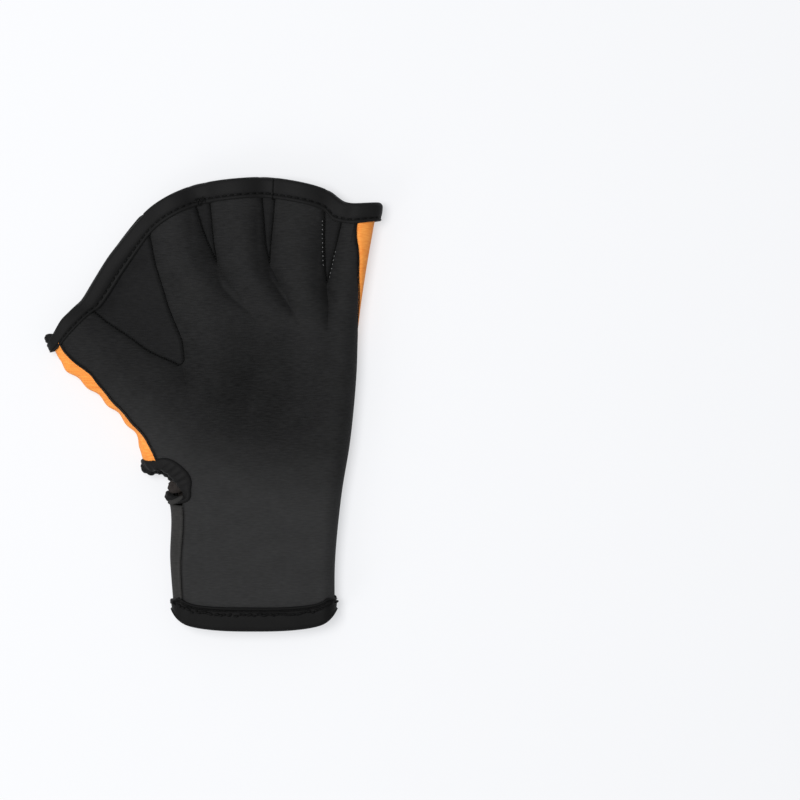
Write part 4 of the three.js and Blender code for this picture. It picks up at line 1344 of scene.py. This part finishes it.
@dataclass
class SoftForm:
    """A small rounded form: a run of rings along a line, closed at both ends."""

    name: str
    line: np.ndarray
    radius: tuple[float, ...]
    flat: float = 1.0
    ripple: float = 0.0
    ripples: int = 9
    steps: int = 40
    turns: int = 36

    def build(self, material: bpy.types.Material) -> bpy.types.Object:
        """Makes the form."""
        t = np.linspace(0, 1, len(self.line))
        s = (1 - np.cos(np.linspace(0, np.pi, self.steps))) / 2
        centre = laid_at(s, t, self.line)
        size = np.interp(s, t, self.radius) * np.sqrt(np.maximum(1 - np.abs(2 * s - 1) ** 6, 0.0004))
        along = unit(np.gradient(centre, axis=0))
        side = unit(np.cross(along, UPWARDS))
        up = np.cross(side, along)
        a = np.linspace(0, 2 * np.pi, self.turns, endpoint=False)
        wobble = 1 + self.ripple * np.sin(self.ripples * s[:, None] * np.pi * 2 + 1.5 * np.sin(a))
        ring = side[:, None] * np.cos(a)[:, None] + up[:, None] * np.sin(a)[:, None] * self.flat
        grid = centre[:, None] + ring * (size[:, None] * wobble)[..., None]
        grid = np.concatenate([grid, grid[:, :1]], 1)
        uv = np.stack(np.broadcast_arrays(s[:, None] * 10, np.linspace(0, 6, self.turns + 1)[None, :]), -1)
        cloth = Cloth()
        cloth.patch(grid, uv)
        for end in (0, -1):
            fan = np.stack([grid[end], np.broadcast_to(centre[end], grid[end].shape)])
            cloth.patch(fan, np.zeros(fan.shape[:2] + (2,)), flip=end == 0)
        piece = cloth.piece(self.name, material, weld=0.002)
        face_outwards(piece)
        return piece


class Graph:
    """Short hand for building a node tree."""

    def __init__(self, tree: bpy.types.NodeTree) -> None:
        """Keeps the tree."""
        self.tree = tree

    def node(self, kind: str, inputs: dict[str | int, object] | None = None,
             **settings: object) -> bpy.types.Node:
        """Adds a node, sets its properties and feeds its inputs."""
        node = self.tree.nodes.new(kind)
        for key, value in settings.items():
            setattr(node, key, value)
        for key, value in (inputs or {}).items():
            self.feed(node.inputs[key], value)
        return node

    def feed(self, target: bpy.types.NodeSocket, value: object) -> None:
        """Links a socket to the target, or sets the target's own value."""
        if isinstance(value, bpy.types.NodeSocket):
            self.tree.links.new(value, target)
        else:
            target.default_value = value

    def math(self, operation: str, *values: object) -> bpy.types.NodeSocket:
        """Adds a Math node."""
        return self.node("ShaderNodeMath", dict(enumerate(values)), operation=operation).outputs[0]

    def noise(self, vector: object, scale: float, detail: float = 3.0) -> bpy.types.NodeSocket:
        """Adds a noise texture and returns its value."""
        inputs = {"Vector": vector, "Scale": scale, "Detail": detail}
        return self.node("ShaderNodeTexNoise", inputs).outputs[0]

    def stretched(self, vector: object, scale: tuple[float, float, float]) -> bpy.types.NodeSocket:
        """Adds a mapping that scales a vector."""
        return self.node("ShaderNodeMapping", {"Vector": vector, "Scale": scale}).outputs[0]

    def ramp(self, value: object, start: float, end: float, top: float) -> bpy.types.NodeSocket:
        """Adds a smooth rise from 0 at start to top at end."""
        limits = {"Value": value, "From Min": start, "From Max": end, "To Min": 0.0, "To Max": top}
        return self.node("ShaderNodeMapRange", limits, interpolation_type="SMOOTHSTEP").outputs[0]

    def blend(self, factor: object, a: tuple, b: tuple) -> bpy.types.NodeSocket:
        """Adds a mix of two colours."""
        return self.node("ShaderNodeMix", {0: factor, 6: a, 7: b}, data_type="RGBA").outputs[2]


def new_group(name: str, inputs: dict[str, float],
              outputs: Sequence[str]) -> tuple[bpy.types.NodeTree, Graph]:
    """Starts a shader group with a Vector input.

    Args:
        name: the group's name.
        inputs: its further inputs with their default values.
        outputs: names of its outputs.

    Returns:
        The tree and its graph.
    """
    tree = bpy.data.node_groups.new(name, "ShaderNodeTree")
    tree.interface.new_socket("Vector", in_out="INPUT", socket_type="NodeSocketVector")
    for key, value in inputs.items():
        socket = tree.interface.new_socket(key, in_out="INPUT", socket_type="NodeSocketFloat")
        socket.default_value = value
    for key in outputs:
        tree.interface.new_socket(key, in_out="OUTPUT", socket_type="NodeSocketFloat")
    return tree, Graph(tree)


def knit_group() -> bpy.types.NodeTree:
    """Builds the shader group of the knitted face: rows of small V stitches and drawn-out grain."""
    tree, g = new_group("knit_face", {"Wale": 0.0009, "Course": 0.0007, "Grain": 1.0}, ("Height", "Shade"))
    inside, outside = g.node("NodeGroupInput"), g.node("NodeGroupOutput")
    vector = inside.outputs["Vector"]
    split = g.node("ShaderNodeSeparateXYZ", {0: vector})
    wale = g.math("DIVIDE", split.outputs[0], inside.outputs["Wale"])
    leg = g.math("ABSOLUTE", g.math("SUBTRACT", g.math("FRACT", wale), 0.5))
    course = g.math("DIVIDE", split.outputs[1], inside.outputs["Course"])
    turn = g.math("MULTIPLY", g.math("ADD", course, leg), 2 * math.pi)
    yarn = g.math("MULTIPLY_ADD", g.math("SINE", turn), 0.5, 0.5)
    far = g.math("SUBTRACT", 0.5, leg)
    side = g.math("SMOOTH_MIN", g.math("MULTIPLY", leg, 6.0), g.math("MULTIPLY", far, 6.0), 0.3)
    height = g.math("MULTIPLY", yarn, g.math("MINIMUM", side, 1.0))
    grain = g.math("SUBTRACT", g.noise(g.stretched(vector, (260, 1500, 1)), 1.0, 2.0), 0.5)
    patch = g.math("SUBTRACT", g.noise(g.stretched(vector, (70, 110, 1)), 1.0, 3.0), 0.5)
    streak = g.math("ADD", grain, g.math("MULTIPLY", patch, 0.45))
    knit = g.math("MULTIPLY_ADD", height, 0.35, 0.32)
    shade = g.math("MULTIPLY_ADD", streak, inside.outputs["Grain"], knit)
    g.feed(outside.inputs["Height"], height)
    g.feed(outside.inputs["Shade"], shade)
    return tree


@dataclass(frozen=True)
class ClothFinish:
    """A cloth: two shades of its colour, its knit and its gloss."""

    name: str
    dark: tuple[float, float, float]
    light: tuple[float, float, float]
    rough: float = 0.74
    sheen: float = 0.02
    wale: float = 0.0009
    course: float = 0.00075
    grain: float = 0.9
    bump: float = 0.5
    # Strength of the painted light: shade painted into the palm's hollow, light painted towards the wrist
    # and away from the hollow.
    fade: float = 0.0
    sheen_rough: float = 0.45
    specular: float = 0.08
    bump_height: float = 0.00015
    # Centre of the painted shade in the palm's hollow, the painted light's runs and its direction towards
    # the wrist, in metres.
    middle: tuple[float, float, float] = (0.02, 0.0, 0.0)
    middle_run: tuple[float, float] = (0.008, 0.058)
    wristwards: tuple[float, float, float] = (0.35, 1.0, 0.0)
    wrist_run: tuple[float, float] = (0.002, -0.044)
    wrist_share: float = 1.6

    def faded(self, g: Graph) -> bpy.types.NodeSocket:
        """Adds painted light: the cloth is drawn lighter away from the palm's hollow and towards the wrist,
        standing in for the shade in the hollow and the light on the heel and wrist.
        """
        place = g.node("ShaderNodeTexCoord").outputs["Object"]
        away = g.node("ShaderNodeVectorMath", {0: g.stretched(place, (1, 1, 0)), 1: self.middle},
                      operation="DISTANCE")
        down = g.node("ShaderNodeVectorMath", {0: place, 1: self.wristwards}, operation="DOT_PRODUCT")
        return g.math("ADD", g.ramp(away.outputs["Value"], *self.middle_run, self.fade),
                      g.ramp(down.outputs["Value"], *self.wrist_run, self.fade * self.wrist_share))

    def build(self, knit: bpy.types.NodeTree) -> bpy.types.Material:
        """Makes the material.

        Args:
            knit: the shared shader group of the knitted face.

        Returns:
            The material.
        """
        material = bpy.data.materials.new(self.name)
        material.use_nodes = True
        g = Graph(material.node_tree)
        shader = material.node_tree.nodes["Principled BSDF"]
        place = g.node("ShaderNodeUVMap", uv_map="cloth").outputs[0]
        face = g.node("ShaderNodeGroup", node_tree=knit)
        for key, value in (("Vector", place), ("Wale", self.wale), ("Course", self.course),
                           ("Grain", self.grain)):
            g.feed(face.inputs[key], value)
        shade = face.outputs["Shade"]
        # Adds the painted shade of the palm's hollow and the painted light towards the wrist to the knit's
        # tone.
        if self.fade:
            shade = g.math("ADD", shade, self.faded(g))
        colour = g.blend(shade, (*self.dark, 1), (*self.light, 1))
        colour.node.clamp_factor = False
        bump = g.node("ShaderNodeBump", {"Strength": self.bump, "Distance": self.bump_height,
                                         "Height": face.outputs["Height"]})
        rough = g.math("MULTIPLY_ADD", face.outputs["Shade"], 0.12, self.rough - 0.06)
        for key, value in (("Base Color", colour), ("Roughness", rough), ("Normal", bump.outputs[0]),
                           ("Specular IOR Level", self.specular), ("Sheen Weight", self.sheen),
                           ("Sheen Roughness", self.sheen_rough)):
            g.feed(shader.inputs[key], value)
        return material


class Finishes:
    """Every finish of the glove, built once."""

    def __init__(self) -> None:
        """Builds the shared group and the materials."""
        knit = knit_group()
        tricot = {"rough": 0.6, "wale": 0.0006, "course": 0.0006}
        # The palm's jersey carries painted shade in its hollow and painted light towards the wrist and heel
        # of the hand.
        self.palm = ClothFinish("palm_jersey", (0.003, 0.003, 0.003), (0.0135, 0.0135, 0.0136), grain=1.7,
                                fade=0.6).build(knit)
        # The wrist panel's lighter black is painted light: the sheen on its strip along the thumb side,
        # which leans towards the light.
        self.wrist = ClothFinish("wrist_jersey", (0.017, 0.0166, 0.016), (0.044, 0.043, 0.0415)).build(knit)
        self.web = ClothFinish("gusset_jersey", (0.0052, 0.0052, 0.0053), (0.0155, 0.0155, 0.0158),
                               grain=1.1).build(knit)
        self.back = ClothFinish("back_jersey", (0.72, 0.18, 0.026), (0.94, 0.42, 0.093), rough=0.62,
                                grain=1.15, bump=0.35).build(knit)
        self.tape = ClothFinish("binding_tricot", (0.0056, 0.0056, 0.0057), (0.0108, 0.0106, 0.0106),
                                grain=0.5, bump=0.22, **tricot).build(knit)
        self.cuff = ClothFinish("cuff_tricot", (0.0034, 0.0034, 0.0034), (0.0072, 0.0071, 0.0071),
                                grain=0.6, bump=0.25, **tricot).build(knit)
        self.lining = ClothFinish("brown_grey_lining", (0.011, 0.009, 0.008), (0.032, 0.027, 0.024),
                                  rough=0.8).build(knit)
        self.facing = ClothFinish("keyhole_facing", (0.016, 0.0135, 0.0125), (0.05, 0.043, 0.04),
                                  rough=0.8).build(knit)
        self.thread = ClothFinish("black_thread", (0.0012, 0.0012, 0.0012), (0.0035, 0.0035, 0.0035),
                                  rough=0.6, sheen=0.0, specular=0.1).build(knit)
        self.pale = ClothFinish("pale_needle_mark", (0.12, 0.12, 0.12), (0.24, 0.24, 0.24),
                                rough=0.8).build(knit)


@dataclass(frozen=True)
class Studio:
    """The pale floor, the soft lights and the camera over it."""

    frame_width: float = 0.416
    centre: tuple[float, float] = (0.0973, 0.0021)
    lens: float = 200.0
    sensor: float = 36.0
    glove_height: float = 0.0075
    clip: tuple[float, float] = (0.05, 50.0)
    floor_size: float = 8.0
    floor_drop: float = 0.0002
    floor_colour: tuple[float, ...] = (0.3, 0.3, 0.305, 1)
    floor_glow: tuple[float, ...] = (0.955, 0.965, 0.985, 1)
    floor_glow_strength: float = 0.6
    floor_rough: float = 0.9
    sky: tuple[float, ...] = (0.95, 0.97, 1.0, 1)
    sky_strength: float = 0.4
    lamps: tuple[tuple[str, tuple[float, float, float], float, float], ...] = (
        ("key", (-0.5, 0.2, 1.9), 0.9, 33.0), ("low", (-1.3, -1.3, 0.9), 0.9, 9.0))

    def build(self) -> None:
        """Makes the floor, the lights, the world and the camera."""
        bpy.context.scene.view_settings.view_transform = "Standard"
        self.floor()
        self.lights()
        self.camera()

    def floor(self) -> None:
        """Lays the floor just under the glove."""
        bpy.ops.mesh.primitive_plane_add(size=self.floor_size, location=(0, 0, -self.floor_drop))
        floor = bpy.context.object
        floor.name = "floor"
        material = bpy.data.materials.new("pale_floor")
        material.use_nodes = True
        shader = material.node_tree.nodes["Principled BSDF"]
        for key, value in (("Base Color", self.floor_colour), ("Emission Color", self.floor_glow),
                           ("Emission Strength", self.floor_glow_strength), ("Roughness", self.floor_rough)):
            shader.inputs[key].default_value = value
        floor.data.materials.append(material)

    def lights(self) -> None:
        """Hangs the soft lights and sets a pale world."""
        world = bpy.data.worlds.new("studio")
        world.use_nodes = True
        background = world.node_tree.nodes["Background"]
        background.inputs[0].default_value, background.inputs[1].default_value = self.sky, self.sky_strength
        bpy.context.scene.world = world
        for name, place, size, power in self.lamps:
            light = bpy.data.lights.new(name, "AREA")
            light.size, light.energy = size, power
            lamp = linked(name, light)
            lamp.location = place
            lamp.rotation_mode = "QUATERNION"
            lamp.rotation_quaternion = (-Vector(place)).to_track_quat("-Z", "Y")

    def camera(self) -> None:
        """Puts the camera straight above, with the frame's width across the table."""
        data = bpy.data.cameras.new("overhead")
        data.lens, data.sensor_width = self.lens, self.sensor
        data.clip_start, data.clip_end = self.clip
        camera = linked("overhead", data)
        camera.location = (*self.centre, self.frame_width * self.lens / self.sensor + self.glove_height)
        bpy.context.scene.camera = camera


def hand_over(piece: bpy.types.Object, slot: str, *nodes: str) -> None:
    """Lets a piece ride on the glove's body and hides the imported parts that it stands for."""
    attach(piece, BODY)
    if nodes:
        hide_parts(*nodes)
    LOG.info("%s: %s faces", piece.name, len(piece.data.polygons))


def threads(form: GloveForm, finish: Finishes, finger: EdgeTape, cuff: EdgeTape) -> None:
    """Sews every seam and lays a black cord of painted shadow in the cuff tape's groove.

    Args:
        form: the glove's form.
        finish: its finishes.
        finger: the tape along the finger edge.
        cuff: the tape round the cuff.
    """
    seams, sewing = SeamLines(form), Sewing()
    ragged_line = mix(cuff.grid[:, 8], cuff.grid[:, 9], 0.45) + cuff.normal * 0.05
    tack = finger.row_near(TACK_X)[3:7].mean(0)
    joint = [finger.row_near(JOINT_X)[2:15] + 0.12 * UPWARDS,
             np.array([tack + np.array([dx, dy, 0.5]) for dx, dy in TACK_ZIGZAG])]
    rows = (
        ("panel_seam_thread", seams.panel(), Stitch(1.15, 1.5, 0.34, 0.05, 0.15), finish.thread, False),
        ("web_seam_thread", seams.webs(), Stitch(1.3, 1.35, 0.44, 0.08, 0.15), finish.thread, False),
        ("needle_marks", seams.needle_marks(), Stitch(2.2, 0.6, 0.26, 0.12, 0.3), finish.pale, False),
        ("finger_tape_stitches", [finger.groove()], Stitch(3.9, 2.8, 0.5, 0.06, 0.12), finish.thread, True),
        ("cuff_tape_stitches", [ragged_line], Stitch(1.7, 2.3, 0.66, 0.6, 0.5), finish.thread, True),
        # A black cord of thread in the cuff's groove: painted shadow where the rib stands over the cloth.
        ("cuff_groove_painted_shadow", [cuff.groove(0.05)], Stitch(1.5, 2.3, 0.5, 0.1, 0.2), finish.thread, True),
        ("tape_joint_stitches", joint, Stitch(1.5, 2.0, 0.36, 0.1, 0.2), finish.thread, False),
    )
    for name, lines, stitch, thread, closed in rows:
        hand_over(sewing.sew(name, lines, stitch, thread, closed), "binding_tape")


def trims(form: GloveForm, finish: Finishes) -> None:
    """Makes the small sewn ends at the keyhole, the thumb and the cuff.

    Args:
        form: the glove's form.
        finish: its finishes.
    """
    angle, v = np.radians([6.0, 25, 42, 60, 80]), np.array([0.271, 0.276, 0.2825, 0.2895, 0.298])
    lift = ((-0.3, 0.9, 2.7), (-0.3, 0.9, 2.7), (-0.3, 0.9, 2.4), (-0.3, 0.8, 1.7), (-0.3, 0.6, 0.6))
    lip = form.around(THUMB, angle, v) + np.array(lift)
    facing = ((-18.9, -39.6, 9.6), (-19.4, -43.0, 9.8), (-19.0, -46.4, 9.8))
    roll = ((-36.4, -30.4, 8.6), (-35.0, -32.8, 8.9), (-32.4, -34.2, 9.2), (-29.4, -33.8, 9.6),
            (-26.6, -32.4, 10.0))
    stub = ((-84.8, 36.4, 8.6), (-84.6, 34.2, 9.1), (-84.0, 31.6, 8.8))
    knob = ((61.8, -101.9, 7.6), (62.8, -100.9, 7.6), (63.3, -99.2, 7.6))
    rows = (
        ("keyhole_facing", facing, (3.2, 4.0, 3.8), (0.3, 0.05, 4), finish.facing, "wrist_neoprene"),
        # The lip takes the wrist's lighter black, painted light for its highlight.
        ("keyhole_lip", lip, (0.9, 1.15, 1.25, 1.25, 1.1), (0.9,), finish.wrist, "wrist_neoprene"),
        ("keyhole_gather", roll, (1.9, 2.7, 2.9, 2.6, 1.8), (0.7, 0.1, 4), finish.tape, "binding_tape"),
        ("thumb_tape_end", stub, (2.3, 2.9, 2.4), (1.0, 0.04, 3), finish.tape, "binding_tape"),
        ("cuff_rib_end", knob, (1.3, 1.6, 1.2), (), finish.tape, "binding_tape"),
    )
    for name, line, radius, shape, material, slot in rows:
        hand_over(SoftForm(name, np.array(line), radius, *shape).build(material), slot)


def edge_tapes(form: GloveForm) -> tuple[EdgeTape, EdgeTape]:
    """The tape along the finger edge and the tape round the cuff, with their widths along the edge."""
    finger_width = Rule(((0, 0.3), (0.012, 0.46), (0.03, 0.55), (0.06, 0.6), (0.1, 0.72), (0.14, 0.95),
                         (0.2, 1), (0.93, 1), (1, 0.84)))
    finger_bulge = Rule(((0, 0), (0.03, 0.6), (0.065, 1.2), (0.1, 0.2), (0.14, -1.1), (0.19, -0.5),
                         (0.25, 0), (0.3, -0.6), (0.36, -0.8), (0.42, -0.3), (1, 0)))
    cuff_width = Rule(((0, 0.35), (0.02, 0.55), (0.05, 0.8), (0.08, 0.87), (0.16, 0.91), (0.3, 0.95),
                       (0.45, 0.97), (0.73, 0.95), (0.88, 0.9), (0.95, 0.78), (0.98, 0.6), (1, 0.38)))
    finger = EdgeTape(form, "finger_tape", 1, TapeSection(8.8, 5.5, 1.9, form.wall), finger_width,
                      (1.8, 2.0), finger_bulge)
    return finger, EdgeTape(form, "cuff_tape", 0, TapeSection(11.0, 6.0, 1.7, form.wall, rib_lift=0.6),
                            cuff_width)


def main() -> None:
    """Loads the frame, builds the glove round it and sets up the studio."""
    logging.basicConfig(level=logging.INFO, format="%(name)s: %(message)s")
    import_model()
    form, finish = GloveForm(), Finishes()
    panels = Panels(form, finish.lining)
    hand_over(panels.palm(finish.palm), "palm_neoprene", "palm_panel")
    hand_over(panels.back(finish.back), "back_neoprene", "back_panel")
    hand_over(panels.wrist(finish.wrist), "wrist_neoprene", "wrist_panel")
    for index, border in enumerate(form.borders):
        hand_over(panels.web(index, finish.web), "web_neoprene", border.web)
    finger, cuff = edge_tapes(form)
    hand_over(finger.build(finish.tape), "binding_tape", "finger_binding")
    hand_over(cuff.build(finish.cuff), "binding_tape", "cuff_binding")
    hand_over(KeyholeTape(form).build(finish.tape), "binding_tape", "keyhole_binding")
    threads(form, finish, finger, cuff)
    trims(form, finish)
    Studio().build()


if __name__ == "__main__":
    main()
